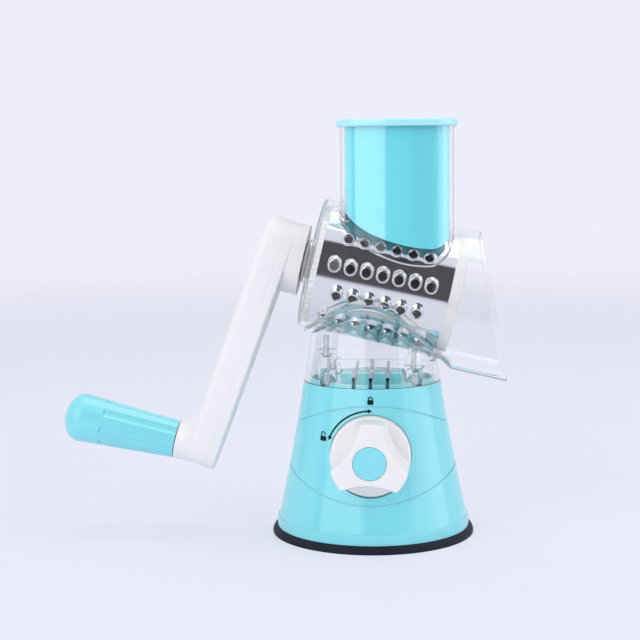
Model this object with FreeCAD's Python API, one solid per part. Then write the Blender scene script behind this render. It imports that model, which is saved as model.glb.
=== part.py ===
"""Hand-cranked rotary drum shredder with a clear housing on a suction base.

Millimetres and degrees. +Z is up and the origin lies on the table, on the axis of
the round base. +X points to the discharge mouth, -X to the crank, -Y to the knob.
The drum's own frame has X along the drum towards the mouth and Z away from the base;
it is tilted by DRUM_TILT about Y, with its origin above the base.
"""
import FreeCAD, Part
import math
import os

V = FreeCAD.Vector
X, Y, Z = V(1, 0, 0), V(0, 1, 0), V(0, 0, 1)

# ---- suction foot -----------------------------------------------------------------
CUP_STANDOUT = 2.8
CUP_LIP_WIDTH = 8.0
CUP_RIM_THICKNESS = 4.5
CUP_TOP_STANDOUT = 0.3
CUP_EDGE_CROWN = 0.5
CUP_EDGE_CROWN_AT = 0.6
CUP_LIFTED_GAP = 7.0
CUP_BEND_WIDTH = 6.0
CUP_BEND_GAP = 1.6
CUP_WEB_THICKNESS = 4.0
CUP_BOSS_FILLET = 3.0
CUP_BOSS_RADIUS = 17.0
CUP_BOSS_HEIGHT = 18.0
STEM_RADIUS = 4.0
STEM_PLATE_RADIUS = 13.0
STEM_PLATE_THICKNESS = 2.5
STEM_PLATE_HEIGHT = 11.6

# ---- base shell -------------------------------------------------------------------
BAND_RADIUS = 57.2
BAND_TOP = 10.5
BAND_EDGE_ROUND = 0.8
BAND_STEP = 1.1
BASE_MIDDLE_HEIGHT = 50.0
BASE_MIDDLE_RADIUS = 47.9
BASE_TOP = 91.0
BASE_TOP_RADIUS = 40.7
BASE_WALL = 2.4
DECK_THICKNESS = 2.6
SPIGOT_RADIUS = 37.3
SPIGOT_WALL = 2.0
SPIGOT_HEIGHT = 2.0
GROOVE_WIDTH = 0.9
GROOVE_DEPTH = 0.55
UPPER_GROOVE_RADIUS = 77.0
UPPER_GROOVE_PEAK = 81.4
LOWER_GROOVE_RADIUS = 86.2
LOWER_GROOVE_DIP = 26.2
KEY_COUNT = 4
KEY_LENGTH = 24.0
KEY_HEIGHT = 5.0

# ---- bracket that holds the cup in the base ------------------------------------------
BRACKET_SIDE_GAP = 3.7
BRACKET_BOTTOM = 19.0
BRACKET_THICKNESS = 2.5
BRACKET_SKIRT_WALL = 3.0
BRACKET_SKIRT_BOTTOM = 5.6
GUIDE_WALL = 3.0
GUIDE_TOP = 33.0
GUIDE_RIBS = 4
GUIDE_RIB_THICKNESS = 2.0
GUIDE_RIB_HEIGHT = 5.0
GUIDE_RIB_REACH = 36.0
BRACKET_SCREW_INSET = 8.0
BRACKET_SCREW_COUNT = 4
BRACKET_WEB_THICKNESS = 2.4
BRACKET_BOSS_TOP = 42.0
SCREW_BOSS_RADIUS = 4.2

# ---- screws (all of one kind, two lengths) ----------------------------------------------
SCREW_RADIUS = 1.45
SCREW_HEAD_RADIUS = 3.1
SCREW_HEAD_HEIGHT = 2.2
SCREW_CROWN_WIDTH = 0.9
SCREW_SLOT_WIDTH = 0.8
SCREW_SLOT_DEPTH = 0.9
SHORT_SCREW = 9.0
LONG_SCREW = 11.0
PILOT_CLEARANCE = 0.05
PILOT_SPARE_DEPTH = 0.5
SHANK_CLEARANCE = 0.2
HEAD_CLEARANCE = 0.4

# ---- knob and lifting gear --------------------------------------------------------------
KNOB_HEIGHT = 53.6
KNOB_RADIUS = 23.0
KNOB_GAP = 0.35
RECESS_FLOOR = -38.5
KNOB_DISC_FRONT = -49.5
KNOB_FRONT = -67.0
KNOB_BACK_GAP = 0.3
KNOB_WALL = 2.4
KNOB_HUB_RADIUS = 9.0
GRIP_LOBES = 3
GRIP_LOBE_RADIUS = 22.2
GRIP_LOBE_ROUND = 2.6
GRIP_LOBE_TURN = 2.0
SCOOP_RADIUS = 36.8
SCOOP_WEB_FRONT = 12.7
SCOOP_WEB_BACK = 15.6
KNOB_EDGE_ROUND = 1.2
CAP_RADIUS = 9.4
CAP_THICKNESS = 2.4
CAP_CLEARANCE = 0.15
CAP_STANDOUT = 0.3
CAP_EDGE_ROUND = 0.5
SHAFT_RADIUS = 5.0
SHAFT_SQUARE = 6.6
SHAFT_SQUARE_FRONT = -50.5
KNOB_SCREW_SEAT = -53.5
SHAFT_DISC_RADIUS = 9.0
SHAFT_DISC_THICKNESS = 3.0
SHAFT_BOSS_WALL = 2.6
CRANK_PIN_RADIUS = 3.0
CRANK_PIN_THROW = 4.0
CRANK_PIN_STANDOUT = 1.0
CRANK_PIN_REST_ANGLE = 145.0
PIN_SLOT_CLEARANCE = 0.2
YOKE_WIDTH = 24.0
YOKE_HEIGHT = 18.0
YOKE_THICKNESS = 13.0
YOKE_ROUND = 2.5
YOKE_SLEEVE = 7.0
YOKE_SLEEVE_WALL = 2.2
YOKE_WEB = 2.0
YOKE_FACE_GAP = 0.5
STEM_END_BELOW_SLOT = 8.0

# ---- clear stand ----------------------------------------------------------------------
STAND_RADIUS = 40.4
STAND_CLEARANCE = 0.4
STAND_TAPER = 0.165
STAND_WALL = 2.2
STAND_TOP = 152.0
STAND_CUT_OFF = 4.0
STAND_RIB_TOP = 103.0
CROSS_RIB_TOP = 97.0
GUSSET_REACH = 12.0
STAND_RIB_THICKNESS = 1.8
STAND_RIB_FIRST = -9.5
STAND_RIB_PITCH = 9.5
STAND_RIB_COUNT = 3
COLUMN_LEFT_X = -27.0
COLUMN_LEFT_DROP = 43.8
COLUMN_RIGHT_X = 25.0
COLUMN_RIGHT_DROP = 53.7
COLUMN_RADIUS = 6.0
COLUMN_WALL = 1.6
COLUMN_FLOOR = 2.5
SADDLE_WIDTH = 5.0
SADDLE_THICKNESS = 2.6
SADDLE_GAP = 0.05
SADDLE_CUT_OFF = 10.5
BASE_SCREW_INSET = 6.0
BASE_SCREW_COUNT = 4
BASE_SCREW_BOSS_HEIGHT = 9.5

# ---- barrel, hood and chute ------------------------------------------------------------
DRUM_TILT = 13.0
DRUM_HEIGHT = 153.0
BARREL_BORE = 36.5
BARREL_WALL = 1.9
BARREL_BACK = -36.5
BARREL_BACK_WALL = 2.2
BARREL_EDGE_ROUND = 1.8
HOOD_START = 44.0
HOOD_FULL = 56.0
HOOD_WALL = 2.0
HOOD_WIDTH = 79.0
HOOD_TOP = 39.5
HOOD_FLOOR = 40.0
HOOD_CORNER_HALF = 35.5
HOOD_CORNER_ROUND = 6.0
RIM_TOP = 56.5
RIM_BOTTOM = 89.0
CHUTE_CROWN_X = 20.0
CHUTE_HALF_DEPTH = 35.5
CHUTE_WALL = 2.0
CHUTE_TOP = 239.5
CHUTE_CROWN_RADIUS = 117.5
CHUTE_SHOULDER_RADIUS = 30.5
CHUTE_LEFT_ROUND = 16.5
CHUTE_RIGHT_ROUND = 15.5
CHUTE_RIGHT_TURN = 7.0
CHUTE_LEFT_TURN = 9.0
CHUTE_SHOULDER_TURN = 30.0
CHUTE_START = 158.0

# ---- pusher ----------------------------------------------------------------------------
PUSHER_GAP = 0.5
PUSHER_WALL = 2.2
PUSHER_DRUM_GAP = 3.8
PUSHER_FLANGE = 4.2
PUSHER_FLANGE_OVERHANG = 2.4
PUSHER_FLANGE_ROUND = 1.4

# ---- drum -------------------------------------------------------------------------------
DRUM_RADIUS = 34.7
DRUM_SHEET = 0.6
DRUM_BACK = -30.5
DRUM_FRONT = 46.0
HOLE_RADIUS = 2.7
HOLE_COLLAR_BASE = 3.7
HOLE_COLLAR_TOP = 3.15
HOLE_COLLAR_HEIGHT = 1.0
HOLE_PITCH = 9.38
HOLE_ROW_CENTRE = 6.6
HOLE_ROW_STEP = 27.2
HOLE_ROWS = 13
HOLES_LONG_ROW = 7
HOLE_FRONT_ANGLE = 84.3
RING_RADIUS = 35.5
RING_LENGTH = 6.6
RING_OPENING = 31.5
RING_DRAFT = 1.0
RING_SPIGOT = 5.0
RING_EDGE_ROUND = 1.0
HUB_RADIUS = 35.2
HUB_BACK = -33.8
HUB_TEETH = 60
HUB_TOOTH_DEPTH = 0.6
HUB_SPIGOT = 5.0
HUB_SPIGOT_WALL = 2.0
HUB_RIBS = 6
HUB_RIB_THICKNESS = 1.8
HUB_END_GAP = 0.6
HUB_SOCKET_RADIUS = 11.0
HUB_SOCKET_FRONT = -17.5
FIT_GAP = 0.05

# ---- crank -------------------------------------------------------------------------------
BUSH_OUTER = 10.0
BUSH_BORE = 8.05
BUSH_FLANGE_RADIUS = 12.6
BUSH_FLANGE = 1.5
BUSH_BOSS_BACK = -39.0
BUSH_BOSS_RADIUS = 13.2
CRANK_SHAFT_RADIUS = 8.0
CLIP_GROOVE_RADIUS = 7.1
CLIP_RADIUS = 9.6
CLIP_THICKNESS = 0.9
CLIP_OPENING = 60.0
CLIP_GAP = 0.05
DOG_FLATS = 12.0
DOG_START = -31.2
DOG_END = -19.5
SOCKET_GAP = 0.1
ARM_LEAN = 7.6
ARM_SEAM = -55.4
ARM_OUTER_THICKNESS = 13.0
ARM_INNER_THICKNESS = 6.3
ARM_HUB_RADIUS = 21.5
ARM_END_RADIUS = 12.5
ARM_OUTER_ROUND = 4.5
ARM_INNER_ROUND = 1.5
ARM_WALL = 2.4
ARM_FACE_WALL = 3.4
ARM_HUB_CORE_RADIUS = 16.0
ARM_HUB_FRONT = -41.0
ARM_HUB_DISC_RADIUS = 21.0
ARM_SCREWS = (34.0, 66.0, 98.0)
FLANGE_FLATS = 22.0
FLANGE_THICKNESS = 4.0
FLANGE_BACK = -56.0
GRIP_OFFSET = 122.5
STUB_RADIUS = 11.4
STUB_END = -92.5
STUB_FLARE = 9.0
STUB_SINK = 2.0
STUB_EDGE_INSET = 0.5
GRIP_PIN_RADIUS = 4.0
GRIP_PIN_HEAD_FLATS = 12.0
GRIP_PIN_HEAD_THICKNESS = 3.5
GRIP_PIN_END = -147.5
GRIP_PIN_END_GAP = 0.6
GRIP_START = -93.1
GRIP_NECK_RADIUS = 11.3
GRIP_SHOULDER = -151.0
GRIP_SHOULDER_RADIUS = 14.6
GRIP_CORNER = 9.5
GRIP_TIP = -162.0
GRIP_FLUTES = 8
GRIP_FLUTE_END = -138.0
GRIP_FLUTE_RADIUS = 5.0
GRIP_FLUTE_DEPTH = 1.0
GRIP_FLUTE_TURN = 9.0
SNAP_GROOVE_RADIUS = 3.2
SNAP_GROOVE_START = -143.0
SNAP_GROOVE_WIDTH = 2.0
SNAP_LIP_WIDTH = 1.6

# ---- worked out from the values above ------------------------------------------------------
BARREL_RADIUS = BARREL_BORE + BARREL_WALL
DECK_BOTTOM = BASE_TOP - DECK_THICKNESS
BAND_CONE_RADIUS = BAND_RADIUS - BAND_STEP
CUP_RADIUS = BAND_RADIUS + CUP_STANDOUT
CUP_TOP_RADIUS = BAND_RADIUS + CUP_TOP_STANDOUT
BRACKET_RADIUS = BAND_CONE_RADIUS - BASE_WALL - BRACKET_SIDE_GAP
BRACKET_SCREW_RADIUS = BRACKET_RADIUS - BRACKET_SCREW_INSET
BASE_SCREW_RADIUS = STAND_RADIUS - BASE_SCREW_INSET
COLUMN_LEFT_TOP = DRUM_HEIGHT - COLUMN_LEFT_DROP
COLUMN_RIGHT_TOP = DRUM_HEIGHT - COLUMN_RIGHT_DROP
BRACKET_TOP = BRACKET_BOTTOM + BRACKET_THICKNESS
PIN_REST = V(CRANK_PIN_THROW * math.cos(math.radians(CRANK_PIN_REST_ANGLE)), 0,
             KNOB_HEIGHT + CRANK_PIN_THROW * math.sin(math.radians(CRANK_PIN_REST_ANGLE)))
ARM_LENGTH = GRIP_OFFSET / math.cos(math.radians(ARM_LEAN))
RING_FRONT = DRUM_FRONT + RING_LENGTH
DRUM_BORE = DRUM_RADIUS - DRUM_SHEET
BUSH_BACK = BUSH_BOSS_BACK - BUSH_FLANGE
BARREL_BACK_INSIDE = BARREL_BACK + BARREL_BACK_WALL
CLIP_FRONT = BARREL_BACK_INSIDE + CLIP_GAP + CLIP_THICKNESS
DRUM_FRAME = FreeCAD.Placement(V(0, 0, DRUM_HEIGHT), FreeCAD.Rotation(Y, DRUM_TILT))
ARM_FRAME = FreeCAD.Placement(V(ARM_SEAM, 0, 0), FreeCAD.Rotation(Y, 90 + ARM_LEAN))

# how far a quarter-round of radius 1 lies inside its corner, along each leg
ROUND_DEPTH = 1 - math.sin(math.radians(45))
# sizes for shapes that only cut: FAR reaches past everything, SINK passes through a face
FAR = 200.0
SINK = 1.0


# ---- geometry helpers ------------------------------------------------------------------------
def closed_wire(start, *steps):
    """A closed wire. A step is the next point, or (middle, end) for a round stretch."""
    edges = []
    here = start
    for step in steps + (start,):
        if isinstance(step, tuple):
            edges.append(Part.Arc(here, step[0], step[1]).toShape())
            here = step[1]
        elif (step - here).Length > 1e-6:
            edges.append(Part.LineSegment(here, step).toShape())
            here = step
    return Part.Wire(edges)


def lathe(start, *steps, axis=Z):
    """A solid of revolution from a profile that lies in the XZ plane."""
    return Part.Face(closed_wire(start, *steps)).revolve(V(), axis, 360)


def cylinder(radius, start, end, axis=Z, centre=V()):
    """A round bar between two stations on an axis."""
    return Part.makeCylinder(radius, end - start, centre + axis * start, axis)


def tube(outer, inner, start, end, axis=Z, centre=V()):
    return cylinder(outer, start, end, axis, centre).cut(
        cylinder(inner, start, end, axis, centre))


def box(low, high):
    return Part.makeBox(high.x - low.x, high.y - low.y, high.z - low.z, low)


def prism(wire, travel):
    return Part.Face(wire).extrude(travel)


def polygon(sides, flats, station, axis, centre=V()):
    """A regular polygon, flats across, square to the X or Y axis at a station."""
    across = Y if axis == X else X
    radius = flats / 2 / math.cos(math.pi / sides)
    points = []
    for i in range(sides):
        turn = 2 * math.pi * (i + 0.5) / sides
        points.append(centre + axis * station
                      + across * (radius * math.cos(turn)) + Z * (radius * math.sin(turn)))
    return closed_wire(*points)


def polar(radius, angle, height):
    """A point on a circle about Z, angle in degrees from +X."""
    turn = math.radians(angle)
    return V(radius * math.cos(turn), radius * math.sin(turn), height)


def placed(shape, placement):
    moved = shape.copy()
    moved.Placement = placement.multiply(moved.Placement)
    return moved


def in_drum_frame(shape):
    return placed(shape, DRUM_FRAME)


def fused(first, *others):
    return first.multiFuse(list(others)).removeSplitter()


def group(shapes):
    return Part.makeCompound(shapes)


def pan_screw(seat, length, axis):
    """A slotted pan-head screw whose head bears on seat and whose shank runs along axis."""
    radius, height = SCREW_HEAD_RADIUS, SCREW_HEAD_HEIGHT
    crown = SCREW_CROWN_WIDTH
    screw = lathe(V(0, 0, length), V(SCREW_RADIUS, 0, length), V(SCREW_RADIUS, 0, 0),
                  V(radius, 0, 0), V(radius, 0, crown - height), V(radius - crown, 0, -height),
                  V(0, 0, -height))
    slot = box(V(-2 * radius, -SCREW_SLOT_WIDTH / 2, -2 * height),
               V(2 * radius, SCREW_SLOT_WIDTH / 2, SCREW_SLOT_DEPTH - height))
    screw = screw.cut(slot)
    screw.Placement = FreeCAD.Placement(seat, FreeCAD.Rotation(Z, axis))
    return screw


def pilot(seat, length, axis):
    """The hole that a screw of this length takes, measured from the same seat."""
    return Part.makeCylinder(SCREW_RADIUS + PILOT_CLEARANCE, length + PILOT_SPARE_DEPTH,
                             seat, axis)


# ---- suction foot ---------------------------------------------------------------------------
def suction_cup():
    """Rubber cup, drawn with its centre lifted, moulded round the stem's plate."""
    lip_inside = CUP_RADIUS - CUP_LIP_WIDTH
    bend = lip_inside - CUP_BEND_WIDTH
    web_inside = CUP_BOSS_RADIUS + CUP_BOSS_FILLET
    web_top = CUP_LIFTED_GAP + CUP_WEB_THICKNESS
    cup = lathe(V(0, 0, CUP_LIFTED_GAP), V(web_inside, 0, CUP_LIFTED_GAP),
                V(bend, 0, CUP_BEND_GAP), V(lip_inside, 0, 0), V(CUP_RADIUS, 0, 0),
                (V(CUP_RADIUS - CUP_EDGE_CROWN, 0, CUP_RIM_THICKNESS * CUP_EDGE_CROWN_AT),
                 V(CUP_TOP_RADIUS, 0, CUP_RIM_THICKNESS)),
                V(lip_inside, 0, CUP_RIM_THICKNESS),
                V(bend, 0, CUP_BEND_GAP + CUP_WEB_THICKNESS),
                V(web_inside, 0, web_top), V(CUP_BOSS_RADIUS, 0, web_top + CUP_BOSS_FILLET),
                V(CUP_BOSS_RADIUS, 0, CUP_BOSS_HEIGHT), V(0, 0, CUP_BOSS_HEIGHT))
    return cup.cut(stem_envelope(FIT_GAP))


def stem_envelope(gap):
    """The stem's plate and rod, grown by a gap."""
    plate = cylinder(STEM_PLATE_RADIUS + gap, STEM_PLATE_HEIGHT - gap,
                     STEM_PLATE_HEIGHT + STEM_PLATE_THICKNESS + gap)
    return plate.fuse(cylinder(STEM_RADIUS + gap, STEM_PLATE_HEIGHT, stem_top() + gap))


def stem_top():
    return PIN_REST.z - STEM_END_BELOW_SLOT


def suction_stem():
    stem = stem_envelope(0)
    return stem.cut(pilot(V(0, 0, stem_top()), SHORT_SCREW, -Z)).removeSplitter()


def lift_yoke():
    """Slotted head on the stem. The shaft's pin runs in the slot and lifts it."""
    half = V(YOKE_WIDTH / 2, YOKE_THICKNESS / 2, YOKE_HEIGHT / 2)
    middle = V(0, 0, PIN_REST.z)
    yoke = box(middle - half, middle + half)
    yoke = yoke.makeFillet(YOKE_ROUND, [e for e in yoke.Edges if is_along(e, Y)])
    bottom = middle.z - half.z
    sleeve = cylinder(STEM_RADIUS + YOKE_SLEEVE_WALL, bottom - YOKE_SLEEVE, bottom + SINK)
    socket = cylinder(STEM_RADIUS + FIT_GAP, 0, stem_top())
    slot_reach = CRANK_PIN_RADIUS + PIN_SLOT_CLEARANCE
    slot = box(V(-CRANK_PIN_THROW - slot_reach, -FAR, middle.z - slot_reach),
               V(PIN_REST.x + 2 * slot_reach - CRANK_PIN_RADIUS, FAR, middle.z + slot_reach))
    screw_hole = cylinder(SCREW_RADIUS + SHANK_CLEARANCE, 0, FAR)
    head_well = cylinder(SCREW_HEAD_RADIUS + HEAD_CLEARANCE, yoke_screw_seat(), FAR)
    return yoke.fuse(sleeve).cut([socket, slot, screw_hole, head_well]).removeSplitter()


def yoke_screw_seat():
    """Top of the web between stem and slot that the yoke's screw clamps."""
    return stem_top() + YOKE_WEB


def yoke_screw():
    return pan_screw(V(0, 0, yoke_screw_seat()), SHORT_SCREW, -Z)


def cup_bracket():
    """Plate that is screwed into the base, presses the cup's rim and guides the stem."""
    plate = cylinder(BRACKET_RADIUS, BRACKET_BOTTOM, BRACKET_TOP)
    skirt = tube(BRACKET_RADIUS, BRACKET_RADIUS - BRACKET_SKIRT_WALL,
                 BRACKET_SKIRT_BOTTOM, BRACKET_BOTTOM)
    guide = cylinder(STEM_RADIUS + GUIDE_WALL, BRACKET_BOTTOM, GUIDE_TOP)
    ribs = []
    for i in range(GUIDE_RIBS):
        rib = box(V(STEM_RADIUS + SINK, -GUIDE_RIB_THICKNESS / 2, BRACKET_TOP - SINK),
                  V(GUIDE_RIB_REACH, GUIDE_RIB_THICKNESS / 2, BRACKET_TOP + GUIDE_RIB_HEIGHT))
        rib.rotate(V(), Z, 360 / GUIDE_RIBS * i)
        ribs.append(rib)
    holes = [cylinder(STEM_RADIUS + FIT_GAP, 0, FAR)]
    for seat in bracket_screw_seats():
        holes.append(Part.makeCylinder(SCREW_RADIUS + SHANK_CLEARANCE, FAR, seat - Z, Z))
    return fused(plate, skirt, guide, *ribs).cut(holes)


def bracket_screw_seats():
    step = 360 / BRACKET_SCREW_COUNT
    return [polar(BRACKET_SCREW_RADIUS, step * (i + 0.5), BRACKET_BOTTOM)
            for i in range(BRACKET_SCREW_COUNT)]


def bracket_screws():
    return group([pan_screw(seat, SHORT_SCREW, Z) for seat in bracket_screw_seats()])


# ---- base shell ---------------------------------------------------------------------------------
def base_profile(inset, bottom, top):
    """Solid inside the cone of the base, inset from its outer face."""
    low = V(BAND_CONE_RADIUS - inset, 0, BAND_TOP)
    middle = V(BASE_MIDDLE_RADIUS - inset, 0, BASE_MIDDLE_HEIGHT)
    high = V(BASE_TOP_RADIUS - inset, 0, BASE_TOP)
    cone = lathe(V(0, 0, BAND_TOP), low, (middle, high), V(0, 0, BASE_TOP))
    if bottom < BAND_TOP:
        cone = cone.fuse(cylinder(BAND_CONE_RADIUS - inset, bottom, BAND_TOP))
    return cone.common(cylinder(FAR, bottom, top)).removeSplitter()


def groove(radius, crown, rises):
    """Thin arc cut into the skin, drawn from the front as a circle about a level line."""
    centre = V(0, 0, crown - radius if rises else crown + radius)
    ring = tube(radius + GROOVE_WIDTH / 2, radius - GROOVE_WIDTH / 2, -FAR, FAR, Y, centre)
    keep = box(V(-FAR, -FAR, centre.z if rises else 0), V(FAR, FAR, FAR if rises else centre.z))
    skin = base_profile(-1, BAND_TOP, BASE_TOP).cut(base_profile(GROOVE_DEPTH, BAND_TOP, BASE_TOP))
    return ring.common(keep).common(skin)


def key_centres():
    """Places of the base's locating keys, each midway between two of the stand's ribs."""
    first = STAND_RIB_FIRST - STAND_RIB_PITCH / 2
    return [first + STAND_RIB_PITCH * i for i in range(KEY_COUNT)]


def base_screw_seats():
    step = 360 / BASE_SCREW_COUNT
    return [polar(BASE_SCREW_RADIUS, step * (i + 0.5), DECK_BOTTOM)
            for i in range(BASE_SCREW_COUNT)]


def base_shell():
    """Truncated cone with a foot band, a deck, the knob's recess and its bearing boss."""
    outer = base_profile(0, CUP_RIM_THICKNESS, BASE_TOP)
    edge = BAND_EDGE_ROUND
    k = ROUND_DEPTH * edge
    band = lathe(V(0, 0, CUP_RIM_THICKNESS), V(BAND_RADIUS, 0, CUP_RIM_THICKNESS),
                 V(BAND_RADIUS, 0, BAND_TOP - edge),
                 (V(BAND_RADIUS - k, 0, BAND_TOP - k), V(BAND_RADIUS - edge, 0, BAND_TOP)),
                 V(0, 0, BAND_TOP))
    outer = outer.fuse(band)
    shell = outer.cut(base_profile(BASE_WALL, CUP_RIM_THICKNESS - SINK, DECK_BOTTOM))
    additions = []
    # knob recess: a cup in the wall and the long boss that carries the shaft
    centre = V(0, 0, KNOB_HEIGHT)
    recess = cylinder(KNOB_RADIUS + KNOB_GAP, -FAR, RECESS_FLOOR, Y, centre)
    housing = cylinder(KNOB_RADIUS + KNOB_GAP + BASE_WALL, -FAR, RECESS_FLOOR + BASE_WALL,
                       Y, centre).common(outer)
    boss = cylinder(SHAFT_RADIUS + SHAFT_BOSS_WALL, RECESS_FLOOR,
                    shaft_disc_front() - FIT_GAP, Y, centre)
    shaft_hole = cylinder(SHAFT_RADIUS + FIT_GAP, -FAR, 0, Y, centre)
    # columns for the bracket's screws
    for seat in bracket_screw_seats():
        column = Part.makeCylinder(SCREW_BOSS_RADIUS, BRACKET_BOSS_TOP - BRACKET_TOP,
                                   V(seat.x, seat.y, BRACKET_TOP), Z)
        web = box(V(BRACKET_SCREW_RADIUS, -BRACKET_WEB_THICKNESS / 2, BRACKET_TOP),
                  V(BAND_RADIUS, BRACKET_WEB_THICKNESS / 2, BRACKET_BOSS_TOP))
        web.rotate(V(), Z, math.degrees(math.atan2(seat.y, seat.x)))
        additions += [column.common(outer), web.common(outer)]
    # spigot and keys that centre the stand
    additions.append(tube(SPIGOT_RADIUS, SPIGOT_RADIUS - SPIGOT_WALL,
                          BASE_TOP - SINK, BASE_TOP + SPIGOT_HEIGHT))
    key_width = STAND_RIB_PITCH - STAND_RIB_THICKNESS - 2 * STAND_CLEARANCE
    for x in key_centres():
        additions.append(box(V(x - key_width / 2, -KEY_LENGTH / 2, BASE_TOP - SINK),
                             V(x + key_width / 2, KEY_LENGTH / 2, BASE_TOP + KEY_HEIGHT)))
    # the stand's ribs and screw bosses pass through the spigot
    shell = fused(shell, housing, boss, *additions)
    cuts = [recess, shaft_hole, groove(UPPER_GROOVE_RADIUS, UPPER_GROOVE_PEAK, True),
            groove(LOWER_GROOVE_RADIUS, LOWER_GROOVE_DIP, False)]
    slot_half = STAND_RIB_THICKNESS / 2 + STAND_CLEARANCE
    above_deck = BASE_TOP + SPIGOT_HEIGHT
    for x in rib_places():
        cuts.append(box(V(x - slot_half, -FAR, BASE_TOP), V(x + slot_half, FAR, above_deck)))
    long_slot = KEY_HEIGHT + BASE_TOP
    cuts.append(box(V(-FAR, -slot_half, BASE_TOP), V(FAR, slot_half, long_slot)))
    for seat in base_screw_seats():
        cuts.append(Part.makeCylinder(SCREW_RADIUS + SHANK_CLEARANCE, FAR, seat, Z))
        cuts.append(cylinder(SCREW_BOSS_RADIUS + STAND_CLEARANCE, BASE_TOP, long_slot, Z,
                             V(seat.x, seat.y, 0)))
    for x, _ in columns():
        cuts.append(cylinder(COLUMN_RADIUS + STAND_CLEARANCE, BASE_TOP, long_slot, Z, V(x, 0, 0)))
    for seat in bracket_screw_seats():
        cuts.append(pilot(seat, SHORT_SCREW, Z))
    return shell.cut(cuts).removeSplitter()


# ---- knob -----------------------------------------------------------------------------------------
def shaft_disc_front():
    """Station of the shaft's inner disc, which bears on the end of its boss."""
    return -YOKE_THICKNESS / 2 - YOKE_FACE_GAP - SHAFT_DISC_THICKNESS


def knob():
    """Round knob with a three-lobed grip, hollow behind, with a square socket in its hub."""
    centre = V(0, 0, KNOB_HEIGHT)
    back = RECESS_FLOOR - KNOB_BACK_GAP
    disc = cylinder(KNOB_RADIUS, KNOB_DISC_FRONT, back, Y, centre)
    disc = disc.makeFillet(KNOB_EDGE_ROUND, [e for e in disc.Edges
                                             if is_ring_at(e, KNOB_DISC_FRONT)])
    grip = cylinder(GRIP_LOBE_RADIUS, KNOB_FRONT, KNOB_DISC_FRONT, Y, centre)
    for i in range(GRIP_LOBES):
        angle = 90 - GRIP_LOBE_TURN + 360 / GRIP_LOBES * (i + 0.5)
        side = polar(SCOOP_WEB_FRONT + SCOOP_RADIUS, angle, 0)
        scoop = Part.makeCone(SCOOP_RADIUS, SCOOP_RADIUS - (SCOOP_WEB_BACK - SCOOP_WEB_FRONT),
                              KNOB_DISC_FRONT - KNOB_FRONT,
                              V(side.x, KNOB_FRONT, KNOB_HEIGHT + side.y), Y)
        grip = grip.cut(scoop)
    # where a scoop's cone meets the end of a lobe, their edge is a free curve
    grip = grip.makeFillet(GRIP_LOBE_ROUND, [e for e in grip.Edges
                                             if isinstance(e.Curve, Part.BSplineCurve)])
    grip = grip.makeFillet(KNOB_EDGE_ROUND, [e for e in grip.Edges if is_ring_at(e, KNOB_FRONT)])
    body = disc.fuse(grip)
    hollow = tube(KNOB_RADIUS - KNOB_WALL, KNOB_HUB_RADIUS, KNOB_DISC_FRONT + KNOB_WALL,
                  back, Y, centre)
    cap_seat = cylinder(CAP_RADIUS + CAP_CLEARANCE, KNOB_FRONT - SINK,
                        KNOB_FRONT + CAP_THICKNESS, Y, centre)
    well = cylinder(SCREW_HEAD_RADIUS + HEAD_CLEARANCE, KNOB_FRONT, KNOB_SCREW_SEAT, Y, centre)
    clear = cylinder(SCREW_RADIUS + SHANK_CLEARANCE, KNOB_FRONT, back, Y, centre)
    socket = prism(polygon(4, SHAFT_SQUARE + 2 * FIT_GAP, SHAFT_SQUARE_FRONT - FIT_GAP, Y,
                           centre), Y * (back - SHAFT_SQUARE_FRONT + FIT_GAP))
    return body.cut([hollow, cap_seat, well, clear, socket]).removeSplitter()


def knob_cap():
    """Disc that hides the knob's screw."""
    centre = V(0, 0, KNOB_HEIGHT)
    face = KNOB_FRONT - CAP_STANDOUT
    cap = cylinder(CAP_RADIUS, face, KNOB_FRONT + CAP_THICKNESS, Y, centre)
    return cap.makeFillet(CAP_EDGE_ROUND, [e for e in cap.Edges if is_ring_at(e, face)])


def knob_screw():
    return pan_screw(V(0, KNOB_SCREW_SEAT, KNOB_HEIGHT), SHORT_SCREW, Y)


def knob_shaft():
    """Shaft with a square end for the knob and an off-centre pin for the yoke."""
    centre = V(0, 0, KNOB_HEIGHT)
    disc_front = shaft_disc_front()
    disc_back = disc_front + SHAFT_DISC_THICKNESS
    bar = cylinder(SHAFT_RADIUS, RECESS_FLOOR - KNOB_BACK_GAP, disc_back, Y, centre)
    square = prism(polygon(4, SHAFT_SQUARE, SHAFT_SQUARE_FRONT, Y, centre),
                   Y * (RECESS_FLOOR - SHAFT_SQUARE_FRONT))
    disc = cylinder(SHAFT_DISC_RADIUS, disc_front, disc_back, Y, centre)
    pin = cylinder(CRANK_PIN_RADIUS, disc_front, YOKE_THICKNESS / 2 + CRANK_PIN_STANDOUT, Y,
                   PIN_REST)
    thread = SHORT_SCREW - (SHAFT_SQUARE_FRONT - KNOB_SCREW_SEAT)
    return fused(bar, square, disc, pin).cut(
        pilot(V(0, SHAFT_SQUARE_FRONT, KNOB_HEIGHT), thread, Y))


def is_ring_at(edge, station):
    """Whether an edge lies wholly in the plane y = station."""
    span = edge.BoundBox
    return abs(span.YMin - station) < 1e-3 and abs(span.YMax - station) < 1e-3


def is_level_at(edge, height):
    """Whether an edge lies wholly in the plane z = height."""
    span = edge.BoundBox
    return abs(span.ZMin - height) < 1e-3 and abs(span.ZMax - height) < 1e-3


def is_along(edge, axis):
    """Whether an edge is a straight line along an axis."""
    if not isinstance(edge.Curve, Part.Line):
        return False
    return abs(edge.Curve.Direction.dot(axis)) > 0.999


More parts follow.
